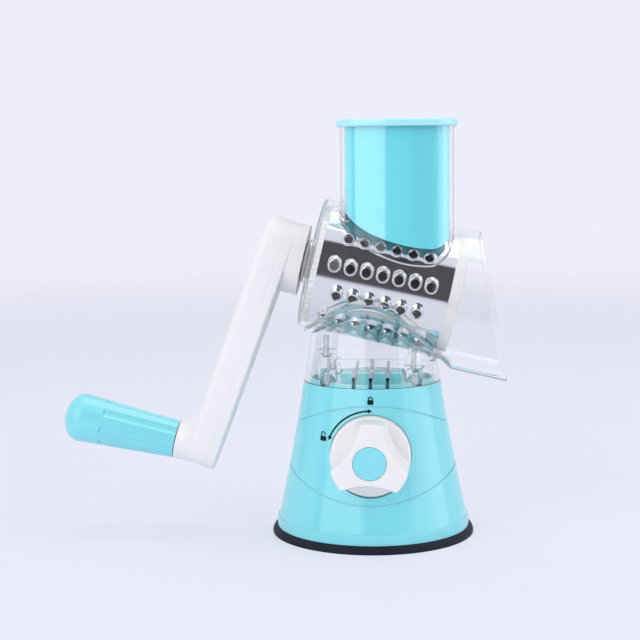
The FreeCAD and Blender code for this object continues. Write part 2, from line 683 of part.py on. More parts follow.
# ---- clear stand -------------------------------------------------------------------------------------
def stand_cone(grow, bottom=BASE_TOP, top=STAND_TOP):
    """Solid inside the cone of the stand, grown or shrunk from its outer face."""
    low = STAND_RADIUS + grow + (BASE_TOP - bottom) * STAND_TAPER
    high = STAND_RADIUS + grow - (top - BASE_TOP) * STAND_TAPER
    return Part.makeCone(low, high, top - bottom, V(0, 0, bottom), Z)


def rib_places():
    return [STAND_RIB_FIRST + STAND_RIB_PITCH * i for i in range(STAND_RIB_COUNT)]


def columns():
    return ((COLUMN_LEFT_X, COLUMN_LEFT_TOP), (COLUMN_RIGHT_X, COLUMN_RIGHT_TOP))


def clear_stand():
    """Clear cone with a saddle lip for the barrel, two screw columns and low ribs."""
    saddle_inner = BARREL_RADIUS + SADDLE_GAP
    barrel_space = in_drum_frame(cylinder(saddle_inner, -FAR, FAR, X))
    hood_space = in_drum_frame(prism(arch_section(-SADDLE_GAP, HOOD_START), X * FAR))
    lip_zone = in_drum_frame(tube(saddle_inner + SADDLE_THICKNESS, saddle_inner, -FAR, FAR, X))
    inner = stand_cone(-STAND_WALL, BASE_TOP - SINK, STAND_TOP + SINK)
    body = stand_cone(0).cut(inner).cut(barrel_space)
    body = body.common(in_drum_frame(box(V(-FAR, -FAR, -FAR), V(FAR, FAR, -STAND_CUT_OFF))))
    lip = stand_cone(SADDLE_WIDTH).cut(inner).common(lip_zone).common(
        in_drum_frame(box(V(BARREL_BACK, -FAR, -FAR), V(HOOD_START, FAR, -SADDLE_CUT_OFF))))
    inside = stand_cone(-STAND_WALL / 2)
    parts = []
    for x, top in columns():
        parts.append(cylinder(COLUMN_RADIUS, BASE_TOP, top, Z, V(x, 0, 0)))
    rib_half = STAND_RIB_THICKNESS / 2
    long_rib = box(V(-FAR, -rib_half, BASE_TOP), V(FAR, rib_half, STAND_RIB_TOP))
    parts.append(long_rib.common(inside))
    for x in rib_places():
        cross = box(V(x - rib_half, -FAR, BASE_TOP), V(x + rib_half, FAR, CROSS_RIB_TOP))
        parts.append(cross.common(inside))
    parts.append(box(V(-rib_half, -GUSSET_REACH, BASE_TOP), V(rib_half, 0, STAND_RIB_TOP)))
    for seat in base_screw_seats():
        parts.append(Part.makeCylinder(SCREW_BOSS_RADIUS, BASE_SCREW_BOSS_HEIGHT,
                                       V(seat.x, seat.y, BASE_TOP), Z))
    stand = fused(body, lip, *parts)
    cuts = [barrel_space, hood_space]
    for x, top in columns():
        cuts.append(cylinder(COLUMN_RADIUS - COLUMN_WALL, 0, top - COLUMN_FLOOR, Z, V(x, 0, 0)))
        cuts.append(cylinder(SCREW_RADIUS + SHANK_CLEARANCE, 0, FAR, Z, V(x, 0, 0)))
        # the barrel's screw boss stands on the column
        cuts.append(cylinder(SCREW_BOSS_RADIUS + STAND_CLEARANCE, top, FAR, Z, V(x, 0, 0)))
    for seat in base_screw_seats():
        cuts.append(pilot(seat, SHORT_SCREW, Z))
    return stand.cut(cuts).removeSplitter()


def stand_screws():
    return group([pan_screw(seat, SHORT_SCREW, Z) for seat in base_screw_seats()])


def barrel_screws():
    return group([pan_screw(V(x, 0, top - COLUMN_FLOOR), LONG_SCREW, Z) for x, top in columns()])


# ---- barrel, hood and chute ---------------------------------------------------------------------------
def circle_section(radius, station):
    """Circle in six arcs that match the six stretches of the hood's arch."""
    def at(angle):
        turn = math.radians(angle)
        return V(station, radius * math.cos(turn), radius * math.sin(turn))
    return closed_wire(at(0), (at(90), at(180)), (at(202.5), at(225)), (at(232.5), at(240)),
                       (at(270), at(300)), (at(307.5), at(315)), (at(337.5), at(360)))


def arch_section(inset, station):
    """Arch with a round top, nearly upright sides, rounded lower corners and a flat floor."""
    half = HOOD_WIDTH / 2 - inset
    top = HOOD_TOP - inset
    floor = HOOD_FLOOR - inset
    corner = HOOD_CORNER_HALF - inset
    round_off = HOOD_CORNER_ROUND - inset
    side_low = floor - round_off
    # the side is an arc that leaves the top upright and reaches the corner
    swing = (side_low ** 2 / (half - corner) - (half + corner)) / 2
    side_radius = swing + half
    half_turn = math.asin(side_low / side_radius) / 2
    side_mid_y = side_radius * math.cos(half_turn) - swing
    side_mid_z = side_radius * math.sin(half_turn)
    bend = round_off * math.sin(math.radians(45))
    foot = corner - round_off

    def at(y, z):
        return V(station, y, z)
    return closed_wire(at(half, 0), (at(0, top), at(-half, 0)),
                       (at(-side_mid_y, -side_mid_z), at(-corner, -side_low)),
                       (at(-foot - bend, -side_low - bend), at(-foot, -floor)),
                       at(foot, -floor),
                       (at(foot + bend, -side_low - bend), at(corner, -side_low)),
                       (at(side_mid_y, -side_mid_z), at(half, 0)))


def hood_solid(radius, inset, end):
    """Barrel end that widens from a circle to the arch and runs on to a station."""
    widening = Part.makeLoft([circle_section(radius, HOOD_START),
                              arch_section(inset, HOOD_FULL)], True, True)
    straight = prism(arch_section(inset, HOOD_FULL), X * (end - HOOD_FULL))
    return widening.fuse(straight)


def beyond_rim():
    """Everything past the slanted plane of the discharge rim."""
    lean = (RIM_BOTTOM - RIM_TOP) / (HOOD_TOP + HOOD_FLOOR)

    def on_rim(z):
        return V(RIM_TOP + (HOOD_TOP - z) * lean, -FAR, z)
    wire = closed_wire(on_rim(FAR), on_rim(-FAR), V(3 * FAR, -FAR, -FAR), V(3 * FAR, -FAR, FAR))
    return prism(wire, Y * (2 * FAR))


def turned(radius, angle):
    """Offset that points towards -Y, turned towards +X by an angle in degrees."""
    turn = math.radians(angle)
    return V(math.sin(turn), -math.cos(turn), 0) * radius


def chute_wire(inset, height):
    """Chute outline: crowned front and back, with a broad shoulder towards the crank."""
    crown = V(CHUTE_CROWN_X, CHUTE_CROWN_RADIUS - CHUTE_HALF_DEPTH, height)
    right = crown + turned(CHUTE_CROWN_RADIUS - CHUTE_RIGHT_ROUND, CHUTE_RIGHT_TURN)
    shoulder = crown + turned(CHUTE_CROWN_RADIUS - CHUTE_SHOULDER_RADIUS, -CHUTE_LEFT_TURN)
    left = shoulder + turned(CHUTE_SHOULDER_RADIUS - CHUTE_LEFT_ROUND, -CHUTE_SHOULDER_TURN)
    front = [right + turned(CHUTE_RIGHT_ROUND - inset, 90)]
    for centre, radius, start, end in (
            (right, CHUTE_RIGHT_ROUND, 90, CHUTE_RIGHT_TURN),
            (crown, CHUTE_CROWN_RADIUS, CHUTE_RIGHT_TURN, -CHUTE_LEFT_TURN),
            (shoulder, CHUTE_SHOULDER_RADIUS, -CHUTE_LEFT_TURN, -CHUTE_SHOULDER_TURN),
            (left, CHUTE_LEFT_ROUND, -CHUTE_SHOULDER_TURN, -90)):
        front += [centre + turned(radius - inset, (start + end) / 2),
                  centre + turned(radius - inset, end)]
    back = [V(p.x, -p.y, p.z) for p in reversed(front)]
    return closed_wire(front[0], *zip(front[1::2], front[2::2]), back[0],
                       *zip(back[1::2], back[2::2]))


def chute_solid(inset, bottom, top):
    return prism(chute_wire(inset, bottom), Z * (top - bottom))


def barrel_housing():
    """Clear barrel with its back wall, feed chute, discharge hood and two screw bosses."""
    edge = BARREL_EDGE_ROUND
    k = ROUND_DEPTH * edge
    barrel = lathe(V(BARREL_BACK, 0, 0), V(BARREL_BACK, 0, BARREL_RADIUS - edge),
                   (V(BARREL_BACK + k, 0, BARREL_RADIUS - k),
                    V(BARREL_BACK + edge, 0, BARREL_RADIUS)),
                   V(HOOD_START, 0, BARREL_RADIUS), V(HOOD_START, 0, 0), axis=X)
    hood = hood_solid(BARREL_RADIUS, 0, FAR).cut(beyond_rim())
    boss = cylinder(BUSH_BOSS_RADIUS, BUSH_BOSS_BACK, BARREL_BACK + SINK, X)
    outer = in_drum_frame(fused(barrel, hood, boss))
    chute = chute_solid(0, CHUTE_START, CHUTE_TOP)
    screw_bosses = []
    pilots = []
    for x, top in columns():
        screw_bosses.append(cylinder(SCREW_BOSS_RADIUS, top, DRUM_HEIGHT - BARREL_BORE / 2,
                                     Z, V(x, 0, 0)))
        pilots.append(pilot(V(x, 0, top - COLUMN_FLOOR), LONG_SCREW, Z))
    outer = fused(outer, chute, *screw_bosses)
    bore = cylinder(BARREL_BORE, BARREL_BACK_INSIDE, HOOD_START, X)
    hood_inside = hood_solid(BARREL_BORE, HOOD_WALL, FAR)
    bush_hole = cylinder(BUSH_OUTER + FIT_GAP, -FAR, 0, X)
    inner = in_drum_frame(fused(bore, hood_inside, bush_hole))
    chute_inside = chute_solid(CHUTE_WALL, CHUTE_START, FAR + CHUTE_TOP)
    return outer.cut([inner, chute_inside] + pilots).removeSplitter()


# ---- pusher -------------------------------------------------------------------------------------------
def pusher():
    """Hollow food pusher, open at the top, with a sole that follows the drum."""
    inset = CHUTE_WALL + PUSHER_GAP
    clear_radius = BARREL_BORE + PUSHER_DRUM_GAP
    body = chute_solid(inset, CHUTE_START, CHUTE_TOP + PUSHER_FLANGE)
    flange = chute_solid(-PUSHER_FLANGE_OVERHANG, CHUTE_TOP, CHUTE_TOP + PUSHER_FLANGE)
    flange = flange.makeFillet(PUSHER_FLANGE_ROUND,
                               [e for e in flange.Edges if not is_along(e, Z)])
    drum_space = in_drum_frame(cylinder(clear_radius, -FAR, FAR, X))
    below = in_drum_frame(box(V(-FAR, -FAR, -FAR), V(FAR, FAR, 0)))
    hollow = chute_solid(inset + PUSHER_WALL, CHUTE_START, CHUTE_TOP + FAR)
    floor_space = in_drum_frame(cylinder(clear_radius + PUSHER_WALL, -FAR, FAR, X))
    hollow = hollow.cut([floor_space, below])
    return body.fuse(flange).cut([drum_space, below, hollow]).removeSplitter()


# ---- drum ---------------------------------------------------------------------------------------------
def hole_rows():
    """(angle, stations) of every row of holes; long and short rows alternate round the drum."""
    rows = []
    middle = HOLE_ROWS // 2
    for row in range(-middle, HOLE_ROWS - middle):
        count = HOLES_LONG_ROW - (row % 2)
        stations = [HOLE_ROW_CENTRE + (i - (count - 1) / 2) * HOLE_PITCH for i in range(count)]
        rows.append((HOLE_FRONT_ANGLE + HOLE_ROW_STEP * row, stations))
    return rows


def drum_strip(start, end, angle, stations):
    """The sheet between two angles, with one row of raised round cutting holes."""
    section = closed_wire(V(DRUM_BACK, 0, DRUM_BORE), V(DRUM_FRONT, 0, DRUM_BORE),
                          V(DRUM_FRONT, 0, DRUM_RADIUS), V(DRUM_BACK, 0, DRUM_RADIUS))
    strip = Part.Face(section).revolve(V(), X, end - start)
    strip.rotate(V(), X, start)
    turn = math.radians(angle)
    outward = V(0, -math.sin(turn), math.cos(turn))
    root = DRUM_RADIUS - DRUM_SHEET / 2
    crest = DRUM_RADIUS + HOLE_COLLAR_HEIGHT
    collars = []
    bores = [cylinder(DRUM_BORE, -FAR, FAR, X)]
    for station in stations:
        collars.append(Part.makeCone(HOLE_COLLAR_BASE, HOLE_COLLAR_TOP, crest - root,
                                     V(station, 0, 0) + outward * root, outward))
        bores.append(Part.makeCylinder(HOLE_RADIUS, crest, V(station, 0, 0), outward))
    return strip.multiFuse(collars).cut(bores)


def drum_shell():
    """Rolled steel sheet in strips that meet edge to edge, one for each row of holes."""
    rows = hole_rows()
    half_step = HOLE_ROW_STEP / 2
    # the sheet's two ends meet in a seam that is wider than the space between rows
    seam = (360 - HOLE_ROWS * HOLE_ROW_STEP) / 2
    strips = []
    for angle, stations in rows:
        start = angle - half_step - (seam if angle == rows[0][0] else 0)
        end = angle + half_step + (seam if angle == rows[-1][0] else 0)
        strips.append(drum_strip(start, end, angle, stations))
    return in_drum_frame(group(strips))


def drum_front_ring():
    """Ring that stiffens the open end of the drum."""
    edge = RING_EDGE_ROUND
    k = ROUND_DEPTH * edge
    spigot = DRUM_BORE - FIT_GAP
    spigot_back = DRUM_FRONT - RING_SPIGOT
    ring = lathe(V(DRUM_FRONT, 0, RING_RADIUS), V(RING_FRONT - edge, 0, RING_RADIUS),
                 (V(RING_FRONT - k, 0, RING_RADIUS - k), V(RING_FRONT, 0, RING_RADIUS - edge)),
                 V(RING_FRONT, 0, RING_OPENING), V(spigot_back, 0, RING_OPENING + RING_DRAFT),
                 V(spigot_back, 0, spigot), V(DRUM_FRONT, 0, spigot), axis=X)
    return in_drum_frame(ring)


def drum_rear_hub():
    """Closed end of the drum: a toothed rim, a spigot, spokes and a six-sided socket."""
    points = []
    for i in range(2 * HUB_TEETH):
        turn = math.pi * i / HUB_TEETH
        radius = HUB_RADIUS - (i % 2) * HUB_TOOTH_DEPTH
        points.append(V(HUB_BACK, radius * math.cos(turn), radius * math.sin(turn)))
    plate = prism(closed_wire(*points), X * (DRUM_BACK - HUB_BACK))
    spigot_radius = DRUM_BORE - FIT_GAP
    spigot = tube(spigot_radius, spigot_radius - HUB_SPIGOT_WALL,
                  DRUM_BACK - SINK, DRUM_BACK + HUB_SPIGOT, X)
    socket_boss = cylinder(HUB_SOCKET_RADIUS, DRUM_BACK - SINK, HUB_SOCKET_FRONT, X)
    ribs = []
    for i in range(HUB_RIBS):
        rib = box(V(DRUM_BACK - SINK, -HUB_RIB_THICKNESS / 2, 0),
                  V(DRUM_BACK + HUB_SPIGOT, HUB_RIB_THICKNESS / 2, spigot_radius - SINK))
        rib.rotate(V(), X, 360 / HUB_RIBS * (i + 0.5))
        ribs.append(rib)
    recess = cylinder(CLIP_RADIUS + HUB_END_GAP, HUB_BACK - SINK, CLIP_FRONT + HUB_END_GAP, X)
    shaft_room = cylinder(CRANK_SHAFT_RADIUS + SOCKET_GAP, HUB_BACK - SINK,
                          DOG_START + SOCKET_GAP, X)
    socket_start = HUB_BACK - SINK
    socket = prism(polygon(6, DOG_FLATS + 2 * SOCKET_GAP, socket_start, X),
                   X * (DOG_END + HUB_END_GAP - socket_start))
    hub = fused(plate, spigot, socket_boss, *ribs)
    return in_drum_frame(hub.cut([recess, shaft_room, socket]).removeSplitter())


# ---- crank ---------------------------------------------------------------------------------------------
def shaft_bush():
    """Plain bearing bush with a flange that the crank's hub runs against."""
    bush = fused(cylinder(BUSH_OUTER, BUSH_BOSS_BACK, BARREL_BACK_INSIDE, X),
                 cylinder(BUSH_FLANGE_RADIUS, BUSH_BACK, BUSH_BOSS_BACK, X))
    return in_drum_frame(bush.cut(cylinder(BUSH_BORE, -FAR, 0, X)))


def shaft_clip():
    """Open retaining ring in the shaft's groove."""
    ring = tube(CLIP_RADIUS, CLIP_GROOVE_RADIUS + CLIP_GAP, CLIP_FRONT - CLIP_THICKNESS,
                CLIP_FRONT, X)
    half = math.tan(math.radians(CLIP_OPENING / 2)) * FAR
    gap = prism(closed_wire(V(-FAR, 0, 0), V(-FAR, half, -FAR), V(-FAR, -half, -FAR)),
                X * (2 * FAR))
    return in_drum_frame(ring.cut(gap))


def drive_shaft():
    """Crank shaft: six-sided flange in the arm, bearing length, clip groove, driving dog."""
    flange = prism(polygon(6, FLANGE_FLATS, FLANGE_BACK, X), X * FLANGE_THICKNESS)
    journal = cylinder(CRANK_SHAFT_RADIUS, FLANGE_BACK + SINK, DOG_START, X)
    dog = prism(polygon(6, DOG_FLATS, DOG_START - SINK, X), X * (DOG_END - DOG_START + SINK))
    groove_cut = tube(CRANK_SHAFT_RADIUS + SINK, CLIP_GROOVE_RADIUS,
                      BARREL_BACK_INSIDE, CLIP_FRONT + CLIP_GAP, X)
    return in_drum_frame(fused(flange, journal, dog).cut(groove_cut))


def arm_outline(inset):
    """Tapered arm with round ends in the arm's own plane, hub at the origin, grip at +X."""
    hub = ARM_HUB_RADIUS - inset
    end = ARM_END_RADIUS - inset
    lean = math.asin((hub - end) / ARM_LENGTH)
    hub_touch = V(hub * math.sin(lean), hub * math.cos(lean), 0)
    end_touch = V(ARM_LENGTH + end * math.sin(lean), end * math.cos(lean), 0)
    return closed_wire(hub_touch, (V(-hub, 0, 0), V(hub_touch.x, -hub_touch.y, 0)),
                       V(end_touch.x, -end_touch.y, 0),
                       (V(ARM_LENGTH + end, 0, 0), end_touch))


def arm_slab(inset, low, high):
    """Slab of the arm between two depths, measured outwards from the seam."""
    slab = prism(arm_outline(inset), Z * (high - low))
    slab.translate(Z * low)
    return slab


def from_arm(shape):
    """From the arm's plane, whose +X runs to the grip and -Z points away from the drum."""
    return placed(shape, DRUM_FRAME.multiply(ARM_FRAME))


def grip_axis(station):
    return V(station, 0, -GRIP_OFFSET)


def flange_pocket():
    pocket = prism(polygon(6, FLANGE_FLATS + 2 * SOCKET_GAP, FLANGE_BACK - SOCKET_GAP, X),
                   X * (FLANGE_THICKNESS + 2 * SOCKET_GAP))
    return in_drum_frame(pocket)


def seam_at_grip():
    """Station where the grip's axis crosses the seam between the arm's halves."""
    return ARM_SEAM - GRIP_OFFSET * math.tan(math.radians(ARM_LEAN))


def pin_head_pocket(gap):
    """The six-sided head of the grip's pin, astride the seam, grown by a gap."""
    start = seam_at_grip() - GRIP_PIN_HEAD_THICKNESS / 2 - gap
    wire = polygon(6, GRIP_PIN_HEAD_FLATS + 2 * gap, start, X, grip_axis(0))
    return in_drum_frame(prism(wire, X * (GRIP_PIN_HEAD_THICKNESS + 2 * gap)))


def arm_screw_seats():
    """Bearing faces of the arm's screws in the arm frame, with heads on the drum side."""
    depth = SCREW_HEAD_HEIGHT + HEAD_CLEARANCE
    return [V(reach, 0, ARM_INNER_THICKNESS - depth) for reach in ARM_SCREWS]


def crank_arm_outer():
    """Outer half of the arm, hollow, with the stub that carries the grip."""
    face = arm_slab(0, -ARM_OUTER_THICKNESS, 0)
    face = face.makeFillet(ARM_OUTER_ROUND, [e for e in face.Edges
                                             if is_level_at(e, -ARM_OUTER_THICKNESS)])
    hollow = arm_slab(ARM_WALL, ARM_FACE_WALL - ARM_OUTER_THICKNESS, SINK)
    hollow = hollow.cut(cylinder(ARM_HUB_CORE_RADIUS, -FAR, FAR))
    hollow = hollow.cut(cylinder(ARM_END_RADIUS, -FAR, FAR, Z, V(ARM_LENGTH, 0, 0)))
    for seat in arm_screw_seats():
        hollow = hollow.cut(cylinder(SCREW_BOSS_RADIUS, -FAR, FAR, Z, V(seat.x, 0, 0)))
    shell = face.cut(hollow)
    for seat in arm_screw_seats():
        shell = shell.cut(pilot(seat, SHORT_SCREW, -Z))
    shell = from_arm(shell)
    # stub: a round collar on the grip's axis that flares into the arm
    flare_end = seam_at_grip() - ARM_OUTER_THICKNESS + STUB_SINK
    flare_start = flare_end - STUB_FLARE
    flare_edge = STUB_RADIUS + STUB_FLARE
    k = ROUND_DEPTH * STUB_FLARE
    flare = lathe(V(flare_start, 0, 0), V(flare_start, 0, STUB_RADIUS),
                  (V(flare_end - k, 0, STUB_RADIUS + k), V(flare_end, 0, flare_edge)),
                  V(flare_end + STUB_SINK, 0, flare_edge), V(flare_end + STUB_SINK, 0, 0),
                  axis=X)
    flare.translate(grip_axis(0))
    flare = flare.common(placed(arm_slab(STUB_EDGE_INSET, -FAR, -SINK), ARM_FRAME))
    collar = cylinder(STUB_RADIUS, STUB_END, flare_end, X, grip_axis(0))
    stub = in_drum_frame(collar.fuse(flare))
    pin_hole = in_drum_frame(cylinder(GRIP_PIN_RADIUS + FIT_GAP, -FAR, seam_at_grip(), X,
                                      grip_axis(0)))
    cuts = [flange_pocket(), pin_head_pocket(SOCKET_GAP), pin_hole]
    return shell.fuse(stub).cut(cuts).removeSplitter()


def crank_arm_inner():
    """Inner half of the arm with the round hub that faces the housing."""
    plate = arm_slab(0, 0, ARM_INNER_THICKNESS)
    plate = plate.makeFillet(ARM_INNER_ROUND, [e for e in plate.Edges
                                               if is_level_at(e, ARM_INNER_THICKNESS)])
    for seat in arm_screw_seats():
        plate = plate.cut(cylinder(SCREW_RADIUS + SHANK_CLEARANCE, -FAR, FAR, Z,
                                   V(seat.x, 0, 0)))
        plate = plate.cut(cylinder(SCREW_HEAD_RADIUS + HEAD_CLEARANCE, seat.z, FAR, Z,
                                   V(seat.x, 0, 0)))
    plate = from_arm(plate)
    hub = cylinder(ARM_HUB_DISC_RADIUS, -FAR, ARM_HUB_FRONT, X)
    drum_side = placed(box(V(-FAR, -FAR, 0), V(FAR, FAR, FAR)), ARM_FRAME)
    hub = in_drum_frame(hub.common(drum_side))
    shaft_hole = in_drum_frame(cylinder(CRANK_SHAFT_RADIUS + SOCKET_GAP, FLANGE_BACK, 0, X))
    cuts = [flange_pocket(), shaft_hole, pin_head_pocket(SOCKET_GAP)]
    return plate.fuse(hub).cut(cuts).removeSplitter()


def arm_screws():
    return group([from_arm(pan_screw(seat, SHORT_SCREW, -Z)) for seat in arm_screw_seats()])


def grip_pin():
    """Pin with a six-sided head held between the arm's halves and a groove for the grip."""
    rod = cylinder(GRIP_PIN_RADIUS, GRIP_PIN_END, seam_at_grip(), X, grip_axis(0))
    groove_cut = tube(GRIP_PIN_RADIUS + SINK, SNAP_GROOVE_RADIUS,
                      SNAP_GROOVE_START - SNAP_GROOVE_WIDTH, SNAP_GROOVE_START, X, grip_axis(0))
    return in_drum_frame(rod.cut(groove_cut)).fuse(pin_head_pocket(0)).removeSplitter()


def grip():
    """Turning grip with a domed end, long flutes and a snap lip inside."""
    neck, shoulder = GRIP_NECK_RADIUS, GRIP_SHOULDER_RADIUS
    # the end is a tight corner that runs smoothly into a flatter crown centred on the axis
    corner = V(GRIP_SHOULDER, 0, shoulder - GRIP_CORNER)
    depth = GRIP_SHOULDER - GRIP_TIP
    crown = (depth ** 2 + corner.z ** 2 - GRIP_CORNER ** 2) / (2 * (depth - GRIP_CORNER))
    middle = V(GRIP_TIP + crown, 0, 0)
    meeting = math.atan2(corner.z, middle.x - corner.x)

    def around(centre, radius, turn):
        return centre + V(-radius * math.cos(turn), 0, radius * math.sin(turn))
    body = lathe(V(GRIP_START, 0, 0), V(GRIP_START, 0, neck), V(GRIP_SHOULDER, 0, shoulder),
                 (around(corner, GRIP_CORNER, (meeting + math.pi / 2) / 2),
                  around(middle, crown, meeting)),
                 (around(middle, crown, meeting / 2), V(GRIP_TIP, 0, 0)), axis=X)
    flutes = []
    slope = (shoulder - neck) / (GRIP_START - GRIP_SHOULDER)
    flute_length = GRIP_START - GRIP_FLUTE_END
    for i in range(GRIP_FLUTES):
        cutter = cylinder(GRIP_FLUTE_RADIUS, 0, 2 * flute_length, X)
        cutter.rotate(V(), Y, math.degrees(math.atan(slope)))
        cutter.translate(V(GRIP_FLUTE_END, 0, neck + slope * flute_length
                           + GRIP_FLUTE_RADIUS - GRIP_FLUTE_DEPTH))
        cutter.rotate(V(), X, GRIP_FLUTE_TURN + 360 / GRIP_FLUTES * i)
        flutes.append(cutter)
    running = GRIP_PIN_RADIUS + FIT_GAP
    lip_high = SNAP_GROOVE_START - (SNAP_GROOVE_WIDTH - SNAP_LIP_WIDTH) / 2
    lip_low = lip_high - SNAP_LIP_WIDTH
    bore = [cylinder(running, lip_high, FAR, X),
            cylinder(SNAP_GROOVE_RADIUS + 2 * FIT_GAP, lip_low - SINK, lip_high + SINK, X),
            cylinder(running, GRIP_PIN_END - GRIP_PIN_END_GAP, lip_low, X)]
    body = body.cut(flutes + bore)
    body.translate(grip_axis(0))
    return in_drum_frame(body).removeSplitter()


PIECES = (suction_cup, suction_stem, lift_yoke, yoke_screw, cup_bracket, bracket_screws,
          base_shell, knob, knob_cap, knob_screw, knob_shaft, clear_stand, stand_screws,
          barrel_housing, barrel_screws, shaft_bush, drive_shaft, shaft_clip,
          crank_arm_inner, crank_arm_outer, arm_screws, grip_pin, grip,
          drum_shell, drum_front_ring, drum_rear_hub, pusher)


def main():
    os.makedirs("parts", exist_ok=True)
    for make in PIECES:
        shape = make()
        name = make.__name__
        print(f"{name:18s} solids {len(shape.Solids)} faces {len(shape.Faces)} "
              f"valid {shape.isValid()} volume {shape.Volume:.0f}")
        shape.exportStep(f"parts/{name}.step")


main()
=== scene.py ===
"""Finishes, formed cutting rims, printed marks and studio for a hand-cranked rotary shredder.

Metres, in the part's own frame: +Z is up, +X points to the discharge mouth and -Y to the knob.
"""

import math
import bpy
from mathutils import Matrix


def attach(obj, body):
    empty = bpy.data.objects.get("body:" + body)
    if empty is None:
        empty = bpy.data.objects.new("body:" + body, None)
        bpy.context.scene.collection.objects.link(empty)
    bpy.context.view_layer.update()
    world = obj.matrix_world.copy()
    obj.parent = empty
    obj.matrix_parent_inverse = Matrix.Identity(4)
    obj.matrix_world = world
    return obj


bl_info = {
    "name": "Rotary Shredder",
    "version": (1, 0, 0),
    "blender": (4, 5, 0),
    "location": "3D View > Sidebar > Shredder",
    "description": "Dresses a rotary shredder: moulded plastics, steel drum, dial marks, studio",
    "category": "Object",
}

import bmesh
import bpy
from bpy.props import FloatProperty, FloatVectorProperty, IntProperty, PointerProperty
from mathutils import Matrix, Vector

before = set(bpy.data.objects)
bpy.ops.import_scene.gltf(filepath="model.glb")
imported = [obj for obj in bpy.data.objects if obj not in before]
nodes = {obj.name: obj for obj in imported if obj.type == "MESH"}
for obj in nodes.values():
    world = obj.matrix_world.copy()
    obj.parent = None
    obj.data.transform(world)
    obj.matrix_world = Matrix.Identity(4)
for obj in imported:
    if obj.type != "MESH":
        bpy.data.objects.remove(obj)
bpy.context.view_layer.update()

MM = 0.001

# the drum's frame: tilted about Y, above the centre of the foot
DRUM_TILT = math.radians(13)
DRUM_HEIGHT = 153 * MM
DRUM_PLACE = Matrix.Translation((0, 0, DRUM_HEIGHT)) @ Matrix.Rotation(DRUM_TILT, 4, "Y")
DRUM_RADIUS = 34.7 * MM
HOLE_PITCH = 9.38 * MM
HOLE_ROW_CENTRE = 6.6 * MM
HOLE_ROW_STEP = math.radians(27.2)
HOLE_FRONT_ANGLE = math.radians(84.3)
HOLE_ROWS = 13
HOLES_LONG_ROW = 7

# the base's skin, as (radius, height) at its foot, middle and top
SKIN_POINTS = ((56.1 * MM, 10.5 * MM), (47.9 * MM, 50 * MM), (40.7 * MM, 91 * MM))
KNOB_CENTRE = Vector((0, 0, 53.6 * MM))
LOCKED_PLACE = Vector((0, 0, 83.9)) * MM
RELEASED_PLACE = Vector((-27.3, 0, 62.2)) * MM
DECK_HEIGHT = 91 * MM
FLANGE_BOTTOM = 239.5 * MM
# share of white painted on the pusher's flange, as painted light coming through it
FLANGE_PAINTED_LIGHT = 0.3

# a formed rim, from its foot on the sheet over the crest and down the bore:
# (distance from the hole's axis, height over the sheet), in millimetres
RIM_PROFILE = ((3.95, -0.04), (3.74, 0.04), (3.6, 0.2), (3.48, 0.45), (3.36, 0.75),
               (3.24, 0.99), (3.1, 1.11), (2.94, 1.13), (2.78, 1.06), (2.66, 0.88),
               (2.62, 0.4), (2.62, -0.62), (3.8, -0.3))
# the crest's distance from the axis: what lies outside it is drawn out into the hood
RIM_CREST = 3.0

WHITE = (1.0, 1.0, 1.0)
SCREW_STEEL = (0.62, 0.62, 0.64)
CLEAR_IOR = 1.49
# what the clear plastic takes from the lamps' light
LAMP_TINT = (0.97, 0.99, 1.0)
# a painted glow in the clear plastic, standing in for the light that it traps, and the depths
# past which a ray shows the painted glow
PAINTED_TRAPPED_GLOW = (0.36, 0.41, 0.44)
TRAPPED_GLOSSY_DEPTH = 3.5
TRAPPED_RAY_DEPTH = 10.5
# how much of the unlit room shows in the edges of a clear wall
EDGE_DARKNESS = 0.45
FLOOR_RADIUS = 3.0
# share of its own colour that the floor shows whatever light falls on it
FLOOR_EVENNESS = 0.6


class ShredderFinishes(bpy.types.PropertyGroup):
    turquoise: FloatVectorProperty(
        name="Turquoise", description="Colour of the base, grip and knob cap",
        subtype="COLOR", size=3, min=0, max=1, default=(0.245, 0.775, 0.835))
    pusher_blue: FloatVectorProperty(
        name="Pusher", description="Colour of the food pusher",
        subtype="COLOR", size=3, min=0, max=1, default=(0.195, 0.87, 0.97))
    white: FloatVectorProperty(
        name="White", description="Colour of the crank arm, knob and drum ends",
        subtype="COLOR", size=3, min=0, max=1, default=(0.91, 0.895, 0.87))
    clear: FloatVectorProperty(
        name="Clear", description="Tint of the clear housing and stand",
        subtype="COLOR", size=3, min=0, max=1, default=(0.995, 0.999, 1.0))
    steel: FloatVectorProperty(
        name="Steel", description="Colour of the drum sheet",
        subtype="COLOR", size=3, min=0, max=1, default=(0.83, 0.83, 0.85))
    rubber: FloatVectorProperty(
        name="Rubber", description="Colour of the suction cup",
        subtype="COLOR", size=3, min=0, max=1, default=(0.011, 0.015, 0.027))
    ink: FloatVectorProperty(
        name="Ink", description="Colour of the printed marks",
        subtype="COLOR", size=3, min=0, max=1, default=(0.012, 0.02, 0.024))
    gloss: FloatProperty(
        name="Gloss Roughness", description="Roughness of the polished mouldings",
        min=0.02, max=0.8, default=0.15)
    edge_round: FloatProperty(
        name="Edge Round", description="Softening of moulded edges in the finish",
        subtype="DISTANCE", unit="LENGTH", min=0, max=0.002, default=0.35 * MM)


class ShredderDrumRims(bpy.types.PropertyGroup):
    around: IntProperty(
        name="Steps Around", description="Steps round each cutting rim",
        min=8, max=64, default=24)
    hood_reach: FloatProperty(
        name="Hood Reach", description="How far the upper side is drawn out, against its width",
        min=0, max=3, default=2.9)
    hood_lift: FloatProperty(
        name="Hood Lift", description="How much higher the upper side stands, as a share",
        min=0, max=0.5, default=0.35)


